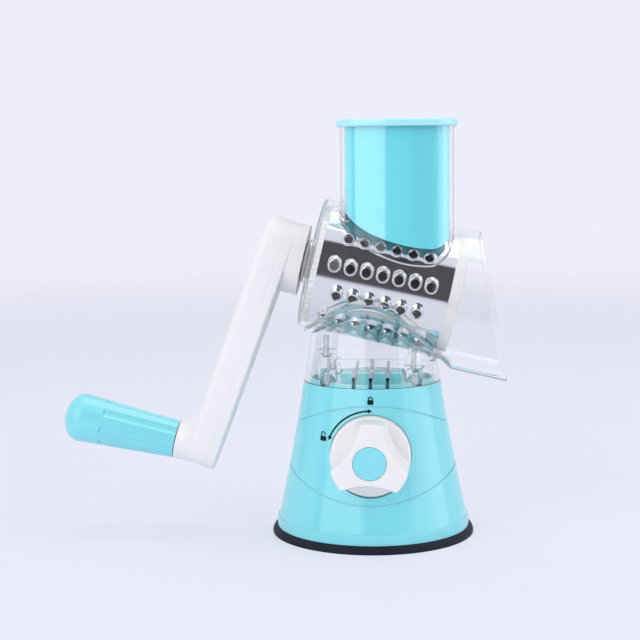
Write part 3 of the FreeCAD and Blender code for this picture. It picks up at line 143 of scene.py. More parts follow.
class ShredderDialMarks(bpy.types.PropertyGroup):
    arc_radius: FloatProperty(
        name="Arc Radius", description="Radius of the turning arrow about the knob",
        subtype="DISTANCE", unit="LENGTH", min=0.02, max=0.03, default=25.4 * MM)
    arc_start: FloatProperty(
        name="Locked End", description="Angle of the arrow's tip at the locked mark",
        subtype="ANGLE", unit="ROTATION", default=math.radians(87.8))
    arc_end: FloatProperty(
        name="Released End", description="Angle of the arrow's tip at the released mark",
        subtype="ANGLE", unit="ROTATION", default=math.radians(161.6))
    line_width: FloatProperty(
        name="Line Width", description="Width of the arrow's line",
        subtype="DISTANCE", unit="LENGTH", min=0, max=0.003, default=0.95 * MM)
    head_length: FloatProperty(
        name="Head Length", description="Length of the arrow's two heads",
        subtype="DISTANCE", unit="LENGTH", min=0, max=0.006, default=2.4 * MM)
    head_width: FloatProperty(
        name="Head Width", description="Width of the arrow's two heads",
        subtype="DISTANCE", unit="LENGTH", min=0, max=0.006, default=2.5 * MM)
    padlock_size: FloatProperty(
        name="Padlock Size", description="Width of the padlock symbols",
        subtype="DISTANCE", unit="LENGTH", min=0.001, max=0.01, default=3.5 * MM)
    ink_height: FloatProperty(
        name="Ink Height", description="How far the print stands on the skin",
        subtype="DISTANCE", unit="LENGTH", min=0, max=0.0005, default=0.07 * MM)


class ShredderStudio(bpy.types.PropertyGroup):
    paper: FloatVectorProperty(
        name="Backdrop", description="Colour of the floor and backdrop",
        subtype="COLOR", size=3, min=0, max=1, default=(0.85, 0.855, 0.955))
    dark_side: FloatVectorProperty(
        name="Dark Side", description="Colour of the unlit room that glossy faces mirror",
        subtype="COLOR", size=3, min=0, max=1, default=(0.018, 0.016, 0.021))
    room_light: FloatProperty(
        name="Room Light", description="Strength of the even light from all round",
        min=0, max=2, default=0.62)
    top_power: FloatProperty(
        name="Top Light", description="Power of the softbox overhead",
        subtype="POWER", unit="POWER", min=0, default=4.0)
    key_power: FloatProperty(
        name="Key Light", description="Power of the softbox on the crank's side",
        subtype="POWER", unit="POWER", min=0, default=8.2)
    fill_power: FloatProperty(
        name="Fill Light", description="Power of the softbox on the mouth's side",
        subtype="POWER", unit="POWER", min=0, default=6.2)
    strip_power: FloatProperty(
        name="Strip Light", description="Power of the thin strip beside the fill light",
        subtype="POWER", unit="POWER", min=0, default=0.25)
    camera_place: FloatVectorProperty(
        name="Camera Place", description="Where the camera stands",
        subtype="TRANSLATION", unit="LENGTH", size=3, default=(0.02193, -0.83828, 0.2171))
    camera_turn: FloatProperty(
        name="Camera Turn", description="Turn of the camera about the upright",
        subtype="ANGLE", unit="ROTATION", default=math.radians(3.6))
    camera_pitch: FloatProperty(
        name="Camera Pitch", description="How far the camera looks down",
        subtype="ANGLE", unit="ROTATION", default=math.radians(6.154))
    camera_roll: FloatProperty(
        name="Camera Roll", description="Turn of the camera about its own line of sight",
        subtype="ANGLE", unit="ROTATION", default=math.radians(-0.567))
    camera_lens: FloatProperty(
        name="Lens", description="Focal length in millimetres",
        min=10, max=300, default=79.9)


# ---- shader building blocks ---------------------------------------------------------------
def add(tree, kind, **settings):
    """A new node with its properties set."""
    node = tree.nodes.new(kind)
    for name, value in settings.items():
        setattr(node, name, value)
    return node


def feed(tree, target, source):
    """Sets a socket to a value, or links it to another node's socket."""
    if isinstance(source, bpy.types.NodeSocket):
        tree.links.new(source, target)
    elif isinstance(source, (tuple, list)) and target.type == "RGBA" and len(source) == 3:
        target.default_value = (*source, 1)
    else:
        target.default_value = source


def calc(tree, operation, first, second=0.0, clamp=False):
    node = add(tree, "ShaderNodeMath", operation=operation, use_clamp=clamp)
    feed(tree, node.inputs[0], first)
    feed(tree, node.inputs[1], second)
    return node.outputs[0]


def smooth_range(tree, value, low, high, out_low=0.0, out_high=1.0):
    node = add(tree, "ShaderNodeMapRange", interpolation_type="SMOOTHSTEP")
    for name, source in (("Value", value), ("From Min", low), ("From Max", high),
                         ("To Min", out_low), ("To Max", out_high)):
        feed(tree, node.inputs[name], source)
    return node.outputs["Result"]


def noise(tree, place, scale, detail=2.0, rough=0.5):
    node = add(tree, "ShaderNodeTexNoise")
    for name, source in (("Vector", place), ("Scale", scale), ("Detail", detail),
                         ("Roughness", rough)):
        feed(tree, node.inputs[name], source)
    return node.outputs["Fac"]


def blend_colours(tree, share, first, second, mode="MIX"):
    node = add(tree, "ShaderNodeMix", data_type="RGBA", blend_type=mode)
    feed(tree, node.inputs["Factor"], share)
    feed(tree, node.inputs[6], first)
    feed(tree, node.inputs[7], second)
    return node.outputs[2]


def mix_shaders(tree, share, first, second):
    node = add(tree, "ShaderNodeMixShader")
    for socket, source in zip(node.inputs, (share, first, second)):
        feed(tree, socket, source)
    return node.outputs["Shader"]


def object_place(tree):
    return add(tree, "ShaderNodeTexCoord").outputs["Object"]


def split(tree, vector):
    """The X, Y and Z outputs of a vector."""
    node = add(tree, "ShaderNodeSeparateXYZ")
    feed(tree, node.inputs[0], vector)
    return node.outputs


def bump(tree, height, distance, normal=None):
    node = add(tree, "ShaderNodeBump")
    feed(tree, node.inputs["Height"], height)
    feed(tree, node.inputs["Distance"], distance)
    if normal is not None:
        feed(tree, node.inputs["Normal"], normal)
    return node.outputs["Normal"]


def between(tree, value, low, high):
    return calc(tree, "MULTIPLY", calc(tree, "GREATER_THAN", value, low),
                calc(tree, "LESS_THAN", value, high))


def mirrored_ray(tree, path):
    """1 for what opaque faces mirror in the open or through one clear wall, less in edges."""
    reflected = between(tree, path["Glossy Depth"], 0.5, 2.5)
    in_the_open = calc(tree, "SUBTRACT",
                       calc(tree, "LESS_THAN", path["Transmission Depth"], 0.5),
                       path["Is Singular Ray"], clamp=True)
    through_wall = between(tree, path["Transmission Depth"], 3.5, 4.5)
    in_an_edge = calc(tree, "MULTIPLY",
                      between(tree, path["Transmission Depth"], 1.5, 2.5), EDGE_DARKNESS)
    full = calc(tree, "MAXIMUM", in_the_open, through_wall)
    return calc(tree, "MULTIPLY", reflected, calc(tree, "MAXIMUM", full, in_an_edge))


def new_group(name, sockets, outputs):
    """An empty shader group with float, colour and vector sockets."""
    kinds = {"F": "NodeSocketFloat", "C": "NodeSocketColor", "V": "NodeSocketVector"}
    tree = bpy.data.node_groups.new(name, "ShaderNodeTree")
    for label, kind, default in sockets:
        socket = tree.interface.new_socket(label, in_out="INPUT", socket_type=kinds[kind])
        socket.default_value = default
    for label, kind in outputs:
        tree.interface.new_socket(label, in_out="OUTPUT", socket_type=kinds[kind])
    return tree, add(tree, "NodeGroupInput").outputs, add(tree, "NodeGroupOutput").inputs


def moulding_group():
    """Colour drift, worn-in gloss, softened edges with a painted highlight, and fine surface
    waves of a moulding.
    """
    tree, given, result = new_group(
        "Moulded Surface",
        (("Colour", "C", (0.8, 0.8, 0.8, 1)), ("Roughness", "F", 0.25),
         ("Roughness Spread", "F", 0.05), ("Grain Scale", "F", 900.0),
         ("Grain Depth", "F", 0.004 * MM), ("Wave Depth", "F", 0.03 * MM),
         ("Edge Round", "F", 0.3 * MM), ("Painted Edge Highlight", "F", 0.25)),
        (("Color", "C"), ("Roughness", "F"), ("Normal", "V")))
    place = object_place(tree)
    soft_edge = add(tree, "ShaderNodeBevel", samples=4)
    feed(tree, soft_edge.inputs["Radius"], given["Edge Round"])
    facing = add(tree, "ShaderNodeVectorMath", operation="DOT_PRODUCT")
    feed(tree, facing.inputs[0], soft_edge.outputs["Normal"])
    feed(tree, facing.inputs[1], add(tree, "ShaderNodeNewGeometry").outputs["Normal"])
    edge = smooth_range(tree, facing.outputs["Value"], 0.97, 0.72)
    drift = noise(tree, place, 22.0, 3.0)
    mottle = noise(tree, place, 160.0, 4.0, 0.6)
    shade = smooth_range(tree, drift, 0.25, 0.75, 0.99, 1.0)
    shaded = blend_colours(tree, 1.0, given["Colour"], shade, "MULTIPLY")
    # painted highlight: the moulding's edges are lightened towards white by the given share
    painted_edge_highlight = calc(tree, "MULTIPLY", edge, given["Painted Edge Highlight"])
    feed(tree, result["Color"], blend_colours(tree, painted_edge_highlight, shaded, WHITE))
    spread = calc(tree, "MULTIPLY", calc(tree, "SUBTRACT", mottle, 0.5),
                  calc(tree, "MULTIPLY", given["Roughness Spread"], 2.0))
    worn = calc(tree, "ADD", calc(tree, "ADD", given["Roughness"], spread),
                calc(tree, "MULTIPLY", edge, 0.06))
    feed(tree, result["Roughness"], calc(tree, "MAXIMUM", worn, 0.01))
    waves = bump(tree, noise(tree, place, 70.0, 1.0), given["Wave Depth"],
                 soft_edge.outputs["Normal"])
    grain = bump(tree, noise(tree, place, given["Grain Scale"], 2.0), given["Grain Depth"], waves)
    feed(tree, result["Normal"], grain)
    return tree


def sheet_group():
    """Rolling lines round the drum, cloudy polish and scratches, and painted shade that dims the
    inside.
    """
    tree, given, result = new_group(
        "Rolled Sheet",
        (("Colour", "C", (0.8, 0.8, 0.8, 1)), ("Roughness", "F", 0.12),
         ("Line Depth", "F", 0.001 * MM), ("Painted Inside Shade", "F", 0.28)),
        (("Color", "C"), ("Roughness", "F"), ("Normal", "V")))
    place = object_place(tree)
    turned = add(tree, "ShaderNodeMapping", vector_type="TEXTURE")
    feed(tree, turned.inputs["Vector"], place)
    feed(tree, turned.inputs["Location"], (0.0, 0.0, DRUM_HEIGHT))
    feed(tree, turned.inputs["Rotation"], (0.0, DRUM_TILT, 0.0))
    lines = add(tree, "ShaderNodeMapping")
    feed(tree, lines.inputs["Vector"], turned.outputs["Vector"])
    feed(tree, lines.inputs["Scale"], (2600.0, 12.0, 12.0))
    brushed = noise(tree, lines.outputs["Vector"], 1.0, 3.0, 0.6)
    cloud = noise(tree, place, 60.0, 3.0)
    across = add(tree, "ShaderNodeVectorMath", operation="MULTIPLY")
    feed(tree, across.inputs[0], turned.outputs["Vector"])
    feed(tree, across.inputs[1], (0.0, 1.0, 1.0))
    from_axis = add(tree, "ShaderNodeVectorMath", operation="LENGTH")
    feed(tree, from_axis.inputs[0], across.outputs["Vector"])
    # painted shade: the inside of the sheet is darkened to the given share of its colour
    outside = smooth_range(tree, from_axis.outputs["Value"], DRUM_RADIUS - 0.65 * MM,
                           DRUM_RADIUS - 0.35 * MM, given["Painted Inside Shade"], 1.0)
    tone = calc(tree, "MULTIPLY", smooth_range(tree, brushed, 0.3, 0.7, 0.96, 1.0), outside)
    feed(tree, result["Color"], blend_colours(tree, 1.0, given["Colour"], tone, "MULTIPLY"))
    polish = calc(tree, "MULTIPLY", calc(tree, "SUBTRACT", cloud, 0.5), 0.03)
    streak = calc(tree, "MULTIPLY", calc(tree, "SUBTRACT", brushed, 0.5), 0.05)
    summed = calc(tree, "ADD", calc(tree, "ADD", given["Roughness"], polish), streak)
    feed(tree, result["Roughness"], calc(tree, "MAXIMUM", summed, 0.02))
    feed(tree, result["Normal"], bump(tree, brushed, given["Line Depth"]))
    return tree


def shared_group(name, build):
    """A node group by name, built the first time that it is asked for."""
    return bpy.data.node_groups.get(name) or build()


def new_material(name):
    material = bpy.data.materials.new(name)
    material.use_nodes = True
    tree = material.node_tree
    shader = tree.nodes["Principled BSDF"]
    return material, tree, shader


def moulded(name, colour, roughness, spread=0.03, edge_highlight=0.2, grain=900.0,
            grain_depth=0.002 * MM, wave_depth=0.005 * MM, edge_round=None, shine=0.5):
    """Material of an opaque moulding, through the shared moulding group."""
    finishes = bpy.context.scene.shredder_finishes
    material, tree, shader = new_material(name)
    surface = add(tree, "ShaderNodeGroup",
                  node_tree=shared_group("Moulded Surface", moulding_group))
    edge = finishes.edge_round if edge_round is None else edge_round
    for socket, value in (("Colour", tuple(colour)), ("Roughness", roughness),
                          ("Roughness Spread", spread), ("Grain Scale", grain),
                          ("Grain Depth", grain_depth), ("Wave Depth", wave_depth),
                          ("Edge Round", edge), ("Painted Edge Highlight", edge_highlight)):
        feed(tree, surface.inputs[socket], value)
    feed(tree, shader.inputs["Base Color"], surface.outputs["Color"])
    feed(tree, shader.inputs["Roughness"], surface.outputs["Roughness"])
    feed(tree, shader.inputs["Normal"], surface.outputs["Normal"])
    shader.inputs["Specular IOR Level"].default_value = shine
    return material, shader


def clear_plastic():
    """Polished clear plastic that lets the lamps through, with a painted glow where it traps
    light.
    """
    finishes = bpy.context.scene.shredder_finishes
    material, shader = moulded("Clear plastic", finishes.clear, 0.03, spread=0.02,
                               edge_highlight=0.0, wave_depth=0.003 * MM, edge_round=0.3 * MM)
    tree = material.node_tree
    tree.links.remove(shader.inputs["Base Color"].links[0])
    feed(tree, shader.inputs["Base Color"], tuple(finishes.clear))
    shader.inputs["Transmission Weight"].default_value = 1.0
    shader.inputs["IOR"].default_value = CLEAR_IOR
    path = add(tree, "ShaderNodeLightPath").outputs
    # painted glow: an emission stands in for light trapped in the clear plastic past the given
    # depths
    glow = add(tree, "ShaderNodeEmission")
    feed(tree, glow.inputs["Color"], PAINTED_TRAPPED_GLOW)
    painted_glow_share = calc(tree, "MAXIMUM",
                   calc(tree, "GREATER_THAN", path["Glossy Depth"], TRAPPED_GLOSSY_DEPTH),
                   calc(tree, "GREATER_THAN", path["Ray Depth"], TRAPPED_RAY_DEPTH))
    lit = mix_shaders(tree, painted_glow_share, shader.outputs["BSDF"], glow.outputs["Emission"])
    # faces that sit on the base's deck show the deck's colour
    height = split(tree, object_place(tree))["Z"]
    facing = split(tree, add(tree, "ShaderNodeNewGeometry").outputs["True Normal"])["Z"]
    level = calc(tree, "GREATER_THAN", calc(tree, "ABSOLUTE", facing), 0.9)
    seated = calc(tree, "MULTIPLY", level,
                  calc(tree, "LESS_THAN", height, DECK_HEIGHT + 0.05 * MM))
    deck = add(tree, "ShaderNodeBsdfDiffuse")
    feed(tree, deck.inputs["Color"], tuple(finishes.turquoise))
    on_deck = mix_shaders(tree, seated, lit, deck.outputs["BSDF"])
    open_to_lamps = add(tree, "ShaderNodeBsdfTransparent")
    feed(tree, open_to_lamps.inputs["Color"], LAMP_TINT)
    feed(tree, tree.nodes["Material Output"].inputs["Surface"],
         mix_shaders(tree, path["Is Shadow Ray"], on_deck, open_to_lamps.outputs["BSDF"]))
    return material


def sheet_steel(name, colour, roughness):
    material, tree, shader = new_material(name)
    surface = add(tree, "ShaderNodeGroup", node_tree=shared_group("Rolled Sheet", sheet_group))
    feed(tree, surface.inputs["Colour"], tuple(colour))
    feed(tree, surface.inputs["Roughness"], roughness)
    for socket, output in (("Base Color", "Color"), ("Roughness", "Roughness"),
                           ("Normal", "Normal")):
        feed(tree, shader.inputs[socket], surface.outputs[output])
    shader.inputs["Metallic"].default_value = 1.0
    return material


def wear(material, *names):
    """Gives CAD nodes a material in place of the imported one."""
    for name in names:
        slots = nodes[name].data.materials
        slots.clear()
        slots.append(material)


# ---- mesh building blocks -----------------------------------------------------------------
def finish_mesh(bm, name, material, body, smooth_angle=None):
    """Turns a bmesh into a piece at the origin that rides on a body."""
    mesh = bpy.data.meshes.new(name)
    bm.to_mesh(mesh)
    bm.free()
    mesh.materials.append(material)
    if smooth_angle is not None:
        mesh.shade_smooth()
        mesh.set_sharp_from_angle(angle=smooth_angle)
    piece = bpy.data.objects.new(name, mesh)
    bpy.context.scene.collection.objects.link(piece)
    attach(piece, body)


def on_dial(radius, angle, centre=KNOB_CENTRE):
    """A point about the knob's axis, seen from the front: angle from +X, turning to +Z."""
    return centre + Vector((radius * math.cos(angle), 0, radius * math.sin(angle)))


def skin_radius(height):
    """Radius of the base's skin at a height: the circle through its three points."""
    (r1, z1), (r2, z2), (r3, z3) = SKIN_POINTS
    low = Matrix(((2 * (r2 - r1), 2 * (z2 - z1)), (2 * (r3 - r1), 2 * (z3 - z1))))
    right = Vector((r2 ** 2 - r1 ** 2 + z2 ** 2 - z1 ** 2,
                    r3 ** 2 - r1 ** 2 + z3 ** 2 - z1 ** 2))
    centre = low.inverted() @ right
    reach = math.hypot(r1 - centre.x, z1 - centre.y)
    side = math.copysign(1, r1 - centre.x)
    return centre.x + side * math.sqrt(reach ** 2 - (height - centre.y) ** 2)


def band(bm, centre, inner, outer, start, end, steps):
    """A flat ring sector about an axis along Y; returns the vertices at its two ends."""
    first = [bm.verts.new(on_dial(radius, start, centre)) for radius in (inner, outer)]
    line = bm.edges.new(first)
    made = bmesh.ops.spin(bm, geom=first + [line], cent=centre, axis=(0, -1, 0),
                          angle=end - start, steps=steps, use_duplicate=False)
    last = [v for v in made["geom_last"] if isinstance(v, bmesh.types.BMVert)]
    return first, last


def leg(bm, pair, drop):
    """Runs the edge between two vertices straight down."""
    line = bm.edges.get(pair)
    made = bmesh.ops.extrude_edge_only(bm, edges=[line])
    lowered = [v for v in made["geom"] if isinstance(v, bmesh.types.BMVert)]
    bmesh.ops.translate(bm, verts=lowered, vec=(0, 0, -drop))


def arrow_head(bm, radius, tip, length, width):
    """A triangle on the arc that points along it to the angle tip."""
    back = tip + length / radius
    corners = [bm.verts.new(on_dial(radius, tip)),
               bm.verts.new(on_dial(radius + width / 2, back)),
               bm.verts.new(on_dial(radius - width / 2, back))]
    bm.faces.new(corners)


def lay_on_skin(bm, height):
    """Wraps a flat print on the front of the base, and gives the ink its thickness."""
    bmesh.ops.remove_doubles(bm, verts=bm.verts, dist=0.001 * MM)
    bmesh.ops.subdivide_edges(bm, edges=[e for e in bm.edges if e.calc_length() > 0.6 * MM],
                              cuts=2, use_grid_fill=True)
    bmesh.ops.recalc_face_normals(bm, faces=bm.faces)
    if sum(f.normal.y * f.calc_area() for f in bm.faces) > 0:
        bmesh.ops.reverse_faces(bm, faces=bm.faces)
    for vert in bm.verts:
        radius = skin_radius(vert.co.z) + height
        vert.co.y = -math.sqrt(radius ** 2 - vert.co.x ** 2)
    bmesh.ops.solidify(bm, geom=list(bm.faces), thickness=2 * height)


def padlock(bm, centre, size, opened):
    """A padlock symbol: a body with round corners and a shackle, shut or swung up."""
    grid = bmesh.ops.create_grid(bm, x_segments=1, y_segments=1, size=0.5)
    body_height = 0.78 * size
    bmesh.ops.scale(bm, verts=grid["verts"], vec=(size, body_height, 1))
    bmesh.ops.rotate(bm, verts=grid["verts"], cent=(0, 0, 0),
                     matrix=Matrix.Rotation(math.radians(90), 3, "X"))
    bmesh.ops.translate(bm, verts=grid["verts"], vec=centre)
    bmesh.ops.bevel(bm, geom=grid["verts"], offset=0.14 * size, segments=3, profile=0.5,
                    affect="VERTICES", material=-1)
    lift = 0.2 * size if opened else 0.0
    crown = centre + Vector((0, 0, body_height / 2 + 0.16 * size + lift))
    right, left = band(bm, crown, 0.22 * size, 0.38 * size, 0, math.pi, 10)
    leg(bm, left, 0.2 * size + lift)
    leg(bm, right, 0.14 * size if opened else 0.2 * size)


def form_rim(rims):
    """Mesh of one cutting rim about +Z, with its upper side (+Y) drawn out into a hood."""
    bm = bmesh.new()
    line = [bm.verts.new((away * MM, 0, up * MM)) for away, up in RIM_PROFILE]
    edges = [bm.edges.new(pair) for pair in zip(line, line[1:] + line[:1])]
    bmesh.ops.spin(bm, geom=line + edges, cent=(0, 0, 0), axis=(0, 0, 1), angle=2 * math.pi,
                   steps=rims.around, use_merge=True, use_duplicate=False)
    bmesh.ops.remove_doubles(bm, verts=bm.verts, dist=0.0005 * MM)
    bmesh.ops.recalc_face_normals(bm, faces=bm.faces)
    if sum(f.normal.z for f in bm.faces) < 0:
        bmesh.ops.reverse_faces(bm, faces=bm.faces)
    crest = max(up for _, up in RIM_PROFILE) * MM
    for vert in bm.verts:
        away = vert.co.xy.length
        upper = max(vert.co.y / away, 0) ** 2
        outside = max(away - RIM_CREST * MM, 0)
        bent = 1 - max(vert.co.z, 0) / crest
        vert.co.xy *= 1 + rims.hood_reach * upper * outside / away
        vert.co.z *= 1 + rims.hood_lift * upper
        vert.co.z -= bent * vert.co.y ** 2 / (2 * DRUM_RADIUS)
    mesh = bpy.data.meshes.new("rim")
    bm.to_mesh(mesh)
    bm.free()
    return mesh


# ---- pieces -------------------------------------------------------------------------------
class SHREDDER_OT_coloured_mouldings(bpy.types.Operator):
    """Finish the turquoise base, grip, knob cap and food pusher"""
    bl_idname = "shredder.coloured_mouldings"
    bl_label = "Coloured Mouldings"

    def execute(self, context):
        finishes = context.scene.shredder_finishes
        turquoise, _ = moulded("Turquoise plastic", finishes.turquoise, finishes.gloss,
                               edge_highlight=0.9, shine=0.7)
        wear(turquoise, "base_shell", "grip", "knob_cap")
        pusher_blue, _ = moulded("Pusher plastic", finishes.pusher_blue, finishes.gloss,
                                 edge_highlight=0.3, shine=1.0)
        self.paint_flange_light(pusher_blue.node_tree, tuple(finishes.pusher_blue))
        wear(pusher_blue, "pusher")
        return {"FINISHED"}

    def paint_flange_light(self, tree, colour):
        """Paints the light that comes through the thin flange, so that it is paler than the walls
        below it.
        """
        surface = next(node for node in tree.nodes if node.type == "GROUP")
        above = smooth_range(tree, split(tree, object_place(tree))["Z"],
                             FLANGE_BOTTOM - 0.2 * MM, FLANGE_BOTTOM + 0.2 * MM,
                             0.0, FLANGE_PAINTED_LIGHT)
        feed(tree, surface.inputs["Colour"], blend_colours(tree, above, colour, WHITE))


class SHREDDER_OT_white_mouldings(bpy.types.Operator):
    """Finish the white crank arm, knob, drum ends, bush, shafts and lifting gear"""
    bl_idname = "shredder.white_mouldings"
    bl_label = "White Mouldings"

    def execute(self, context):
        finishes = context.scene.shredder_finishes
        white, _ = moulded("White plastic", finishes.white, finishes.gloss + 0.2,
                           edge_highlight=0.1)
        wear(white, "knob", "crank_arm_inner", "crank_arm_outer", "drum_front_ring",
             "drum_rear_hub", "shaft_bush", "drive_shaft", "knob_shaft", "lift_yoke",
             "cup_bracket")
        return {"FINISHED"}


class SHREDDER_OT_clear_mouldings(bpy.types.Operator):
    """Finish the clear barrel housing and the clear stand"""
    bl_idname = "shredder.clear_mouldings"
    bl_label = "Clear Mouldings"

    def execute(self, context):
        wear(clear_plastic(), "barrel_housing", "clear_stand")
        return {"FINISHED"}


class SHREDDER_OT_drum(bpy.types.Operator):
    """Finish the perforated drum and form its cutting rims"""
    bl_idname = "shredder.drum"
    bl_label = "Drum"

    def execute(self, context):
        finishes = context.scene.shredder_finishes
        rims = context.scene.shredder_drum_rims
        steel = sheet_steel("Drum steel", finishes.steel, 0.08)
        wear(steel, "drum_shell")
        rim_mesh = form_rim(rims)
        drum = bmesh.new()
        middle = HOLE_ROWS // 2
        for row in range(-middle, HOLE_ROWS - middle):
            count = HOLES_LONG_ROW - row % 2
            turn = Matrix.Rotation(HOLE_FRONT_ANGLE + HOLE_ROW_STEP * row, 4, "X")
            for i in range(count):
                station = HOLE_ROW_CENTRE + (i - (count - 1) / 2) * HOLE_PITCH
                before = len(drum.verts)
                drum.from_mesh(rim_mesh)
                drum.verts.ensure_lookup_table()
                bmesh.ops.transform(drum, verts=drum.verts[before:], matrix=DRUM_PLACE @ turn
                                    @ Matrix.Translation((station, 0, DRUM_RADIUS)))
        bpy.data.meshes.remove(rim_mesh)
        finish_mesh(drum, "drum_rims", steel, "drum", math.radians(80))
        return {"FINISHED"}


class SHREDDER_OT_metal_parts(bpy.types.Operator):
    """Finish the screws, the stem, the grip's pin and the retaining ring"""
    bl_idname = "shredder.metal_parts"
    bl_label = "Metal Parts"

    def execute(self, context):
        plain, shader = moulded("Plain steel", SCREW_STEEL, 0.28, spread=0.1,
                                edge_highlight=0.3, edge_round=0.12 * MM)
        shader.inputs["Metallic"].default_value = 1.0
        wear(plain, "bracket_screws", "stand_screws", "barrel_screws", "yoke_screw",
             "knob_screw", "arm_screws", "suction_stem", "grip_pin", "shaft_clip")
        return {"FINISHED"}


class SHREDDER_OT_suction_foot(bpy.types.Operator):
    """Finish the rubber suction cup"""
    bl_idname = "shredder.suction_foot"
    bl_label = "Suction Foot"

    def execute(self, context):
        finishes = context.scene.shredder_finishes
        rubber, _ = moulded("Foot rubber", finishes.rubber, 0.6, spread=0.12,
                            edge_highlight=0.05, grain=2600.0, grain_depth=0.02 * MM,
                            wave_depth=0.06 * MM, edge_round=0.5 * MM, shine=0.2)
        wear(rubber, "suction_cup")
        return {"FINISHED"}


class SHREDDER_OT_dial_marks(bpy.types.Operator):
    """Print the turning arrow and the two padlock symbols on the base"""
    bl_idname = "shredder.dial_marks"
    bl_label = "Dial Marks"

    def execute(self, context):
        finishes = context.scene.shredder_finishes
        marks = context.scene.shredder_dial_marks
        ink, _ = moulded("Printed ink", finishes.ink, 0.5, edge_highlight=0.0, edge_round=0.0,
                         shine=0.1)
        arrow = bmesh.new()
        radius = marks.arc_radius
        neck = marks.head_length / radius
        band(arrow, KNOB_CENTRE, radius - marks.line_width / 2, radius + marks.line_width / 2,
             marks.arc_start + 0.9 * neck, marks.arc_end - 0.9 * neck, 40)
        arrow_head(arrow, radius, marks.arc_start, marks.head_length, marks.head_width)
        arrow_head(arrow, radius, marks.arc_end, -marks.head_length, marks.head_width)
        lay_on_skin(arrow, marks.ink_height)
        finish_mesh(arrow, "turn_arrow", ink, "housing")
        size = marks.padlock_size
        for name, place, opened in (("locked_mark", LOCKED_PLACE, False),
                                    ("released_mark", RELEASED_PLACE, True)):
            lock = bmesh.new()
            padlock(lock, place, size, opened)
            lay_on_skin(lock, marks.ink_height)
            finish_mesh(lock, name, ink, "housing")
        return {"FINISHED"}


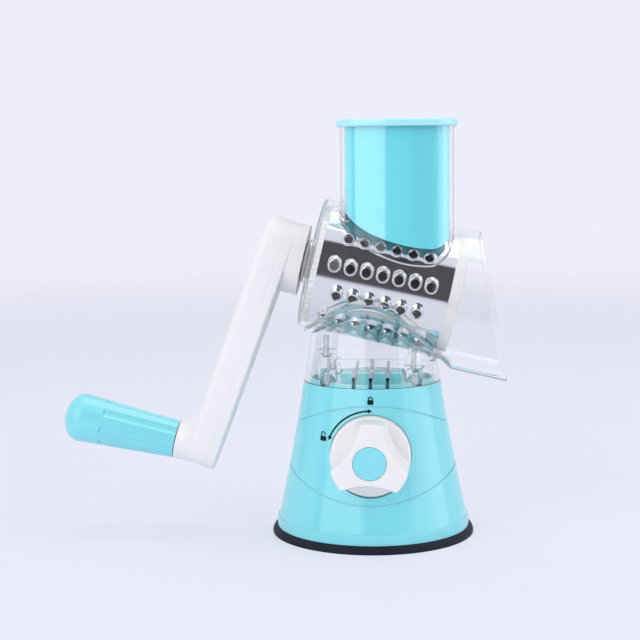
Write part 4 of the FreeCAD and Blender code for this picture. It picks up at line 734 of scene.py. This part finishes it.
class SHREDDER_OT_stage(bpy.types.Operator):
    """Set up the pale floor, the backdrop, the soft lights and the camera"""
    bl_idname = "shredder.stage"
    bl_label = "Stage"

    def execute(self, context):
        studio = context.scene.shredder_studio
        self.light_world(context.scene, studio)
        self.lay_floor(context.scene, studio)
        for name, place, size, power, tilt in (
                ("Top softbox", (0.1, 0.25, 1.25), (1.1, 0.9), studio.top_power, 0.13),
                ("Key softbox", (-0.74, -0.945, 0.75), (1.22, 1.5), studio.key_power, 0.75),
                ("Fill softbox", (1.17, -0.26, 0.75), (1.2, 1.5), studio.fill_power, 0.75),
                ("Edge strip", (0.8, -0.86, 0.75), (0.022, 1.5), studio.strip_power, 0.75)):
            lamp = bpy.data.lights.new(name, "AREA")
            lamp.shape = "RECTANGLE"
            lamp.size, lamp.size_y = size
            lamp.energy = power
            softbox = bpy.data.objects.new(name, lamp)
            aim = Vector((0, 0, tilt)) - Vector(place)
            softbox.matrix_world = (Matrix.Translation(place)
                                    @ aim.to_track_quat("-Z", "Y").to_matrix().to_4x4())
            context.scene.collection.objects.link(softbox)
        camera_data = bpy.data.cameras.new("Camera")
        camera_data.lens = studio.camera_lens
        camera_data.sensor_width = 36
        camera_data.clip_start = 0.01
        camera = bpy.data.objects.new("Camera", camera_data)
        camera.matrix_world = (
            Matrix.Translation(studio.camera_place)
            @ Matrix.Rotation(studio.camera_turn, 4, "Z")
            @ Matrix.Rotation(math.pi / 2 - studio.camera_pitch, 4, "X")
            @ Matrix.Rotation(studio.camera_roll, 4, "Z"))
        context.scene.collection.objects.link(camera)
        context.scene.camera = camera
        context.scene.view_settings.view_transform = "Standard"
        return {"FINISHED"}

    def light_world(self, scene, studio):
        """Pale all round, with the unlit side of a studio above and behind the camera."""
        world = bpy.data.worlds.new("Studio")
        world.use_nodes = True
        scene.world = world
        tree = world.node_tree
        paper = tuple(studio.paper)
        path = add(tree, "ShaderNodeLightPath").outputs
        way = split(tree, add(tree, "ShaderNodeTexCoord").outputs["Generated"])
        rise = smooth_range(tree, way["Z"], -0.3, -0.25)
        fall = smooth_range(tree, way["Z"], 0.8, 0.75)
        behind = smooth_range(tree, way["Y"], -0.05, -0.4)
        unlit = calc(tree, "MULTIPLY", calc(tree, "MULTIPLY", rise, fall), behind)
        dark = calc(tree, "MULTIPLY", unlit, mirrored_ray(tree, path))
        around = tree.nodes["Background"]
        feed(tree, around.inputs["Color"], paper)
        feed(tree, around.inputs["Strength"], studio.room_light)
        mirrored = add(tree, "ShaderNodeBackground")
        feed(tree, mirrored.inputs["Color"],
             blend_colours(tree, dark, paper, tuple(studio.dark_side)))
        seen = add(tree, "ShaderNodeBackground")
        feed(tree, seen.inputs["Color"], paper)
        by_mirror = calc(tree, "MAXIMUM", path["Is Glossy Ray"], path["Is Transmission Ray"])
        glossy = mix_shaders(tree, by_mirror, around.outputs[0], mirrored.outputs[0])
        feed(tree, tree.nodes["World Output"].inputs["Surface"],
             mix_shaders(tree, path["Is Camera Ray"], glossy, seen.outputs[0]))

    def lay_floor(self, scene, studio):
        """A round floor that keeps the shadow and fades into the backdrop."""
        bm = bmesh.new()
        bmesh.ops.create_circle(bm, cap_ends=True, segments=96, radius=FLOOR_RADIUS)
        mesh = bpy.data.meshes.new("Floor")
        bm.to_mesh(mesh)
        bm.free()
        floor = bpy.data.objects.new("Floor", mesh)
        scene.collection.objects.link(floor)
        material, tree, shader = new_material("Paper floor")
        mesh.materials.append(material)
        paper = tuple(studio.paper)
        place = object_place(tree)
        fibre = noise(tree, place, 400.0, 3.0)
        path = add(tree, "ShaderNodeLightPath").outputs
        # painted shade in reflections: to rays that glossy faces mirror, the front of the floor
        # shows the unlit room's dark colour
        unlit = calc(tree, "MULTIPLY", mirrored_ray(tree, path),
                     smooth_range(tree, split(tree, place)["Y"], -0.5, -0.68))
        tone = blend_colours(tree, unlit, paper, tuple(studio.dark_side))
        feed(tree, shader.inputs["Base Color"], tone)
        feed(tree, shader.inputs["Roughness"], smooth_range(tree, fibre, 0.0, 1.0, 0.75, 0.95))
        shader.inputs["Specular IOR Level"].default_value = 0.1
        glow = add(tree, "ShaderNodeEmission")
        feed(tree, glow.inputs["Color"], tone)
        looked_at = calc(tree, "MAXIMUM", path["Is Camera Ray"],
                         calc(tree, "MAXIMUM", path["Is Glossy Ray"],
                              path["Is Transmission Ray"]))
        even = mix_shaders(tree, calc(tree, "MULTIPLY", looked_at, FLOOR_EVENNESS),
                           shader.outputs["BSDF"], glow.outputs["Emission"])
        distance = add(tree, "ShaderNodeVectorMath", operation="LENGTH")
        feed(tree, distance.inputs[0], place)
        far = smooth_range(tree, distance.outputs["Value"], 0.7, 2.4)
        faded = calc(tree, "MULTIPLY", far, calc(tree, "MAXIMUM", path["Is Camera Ray"],
                                                 path["Is Transmission Ray"]))
        feed(tree, tree.nodes["Material Output"].inputs["Surface"],
             mix_shaders(tree, faded, even,
                         add(tree, "ShaderNodeBsdfTransparent").outputs[0]))


STEPS = (SHREDDER_OT_coloured_mouldings, SHREDDER_OT_white_mouldings,
         SHREDDER_OT_clear_mouldings, SHREDDER_OT_drum, SHREDDER_OT_metal_parts,
         SHREDDER_OT_suction_foot, SHREDDER_OT_dial_marks, SHREDDER_OT_stage)


class SHREDDER_PT_panel(bpy.types.Panel):
    """Lists the shredder's steps and settings"""
    bl_idname = "SHREDDER_PT_panel"
    bl_label = "Rotary Shredder"
    bl_space_type = "VIEW_3D"
    bl_region_type = "UI"
    bl_category = "Shredder"

    def draw(self, context):
        layout = self.layout
        for step in STEPS:
            layout.operator(step.bl_idname)
        for group in SETTINGS:
            settings = getattr(context.scene, group)
            for name in settings.__annotations__:
                layout.prop(settings, name)


SETTINGS = {
    "shredder_finishes": ShredderFinishes,
    "shredder_drum_rims": ShredderDrumRims,
    "shredder_dial_marks": ShredderDialMarks,
    "shredder_studio": ShredderStudio,
}


def register():
    for group in SETTINGS.values():
        bpy.utils.register_class(group)
    for name, group in SETTINGS.items():
        setattr(bpy.types.Scene, name, PointerProperty(type=group))
    for step in STEPS:
        bpy.utils.register_class(step)
    bpy.utils.register_class(SHREDDER_PT_panel)


def unregister():
    bpy.utils.unregister_class(SHREDDER_PT_panel)
    for step in reversed(STEPS):
        bpy.utils.unregister_class(step)
    for name in SETTINGS:
        delattr(bpy.types.Scene, name)
    for group in reversed(list(SETTINGS.values())):
        bpy.utils.unregister_class(group)


def main():
    register()
    bpy.ops.shredder.coloured_mouldings()
    bpy.ops.shredder.white_mouldings()
    bpy.ops.shredder.clear_mouldings()
    bpy.ops.shredder.drum()
    bpy.ops.shredder.metal_parts()
    bpy.ops.shredder.suction_foot()
    bpy.ops.shredder.dial_marks()
    bpy.ops.shredder.stage()
    bpy.context.view_layer.update()


if __name__ == "__main__":
    main()
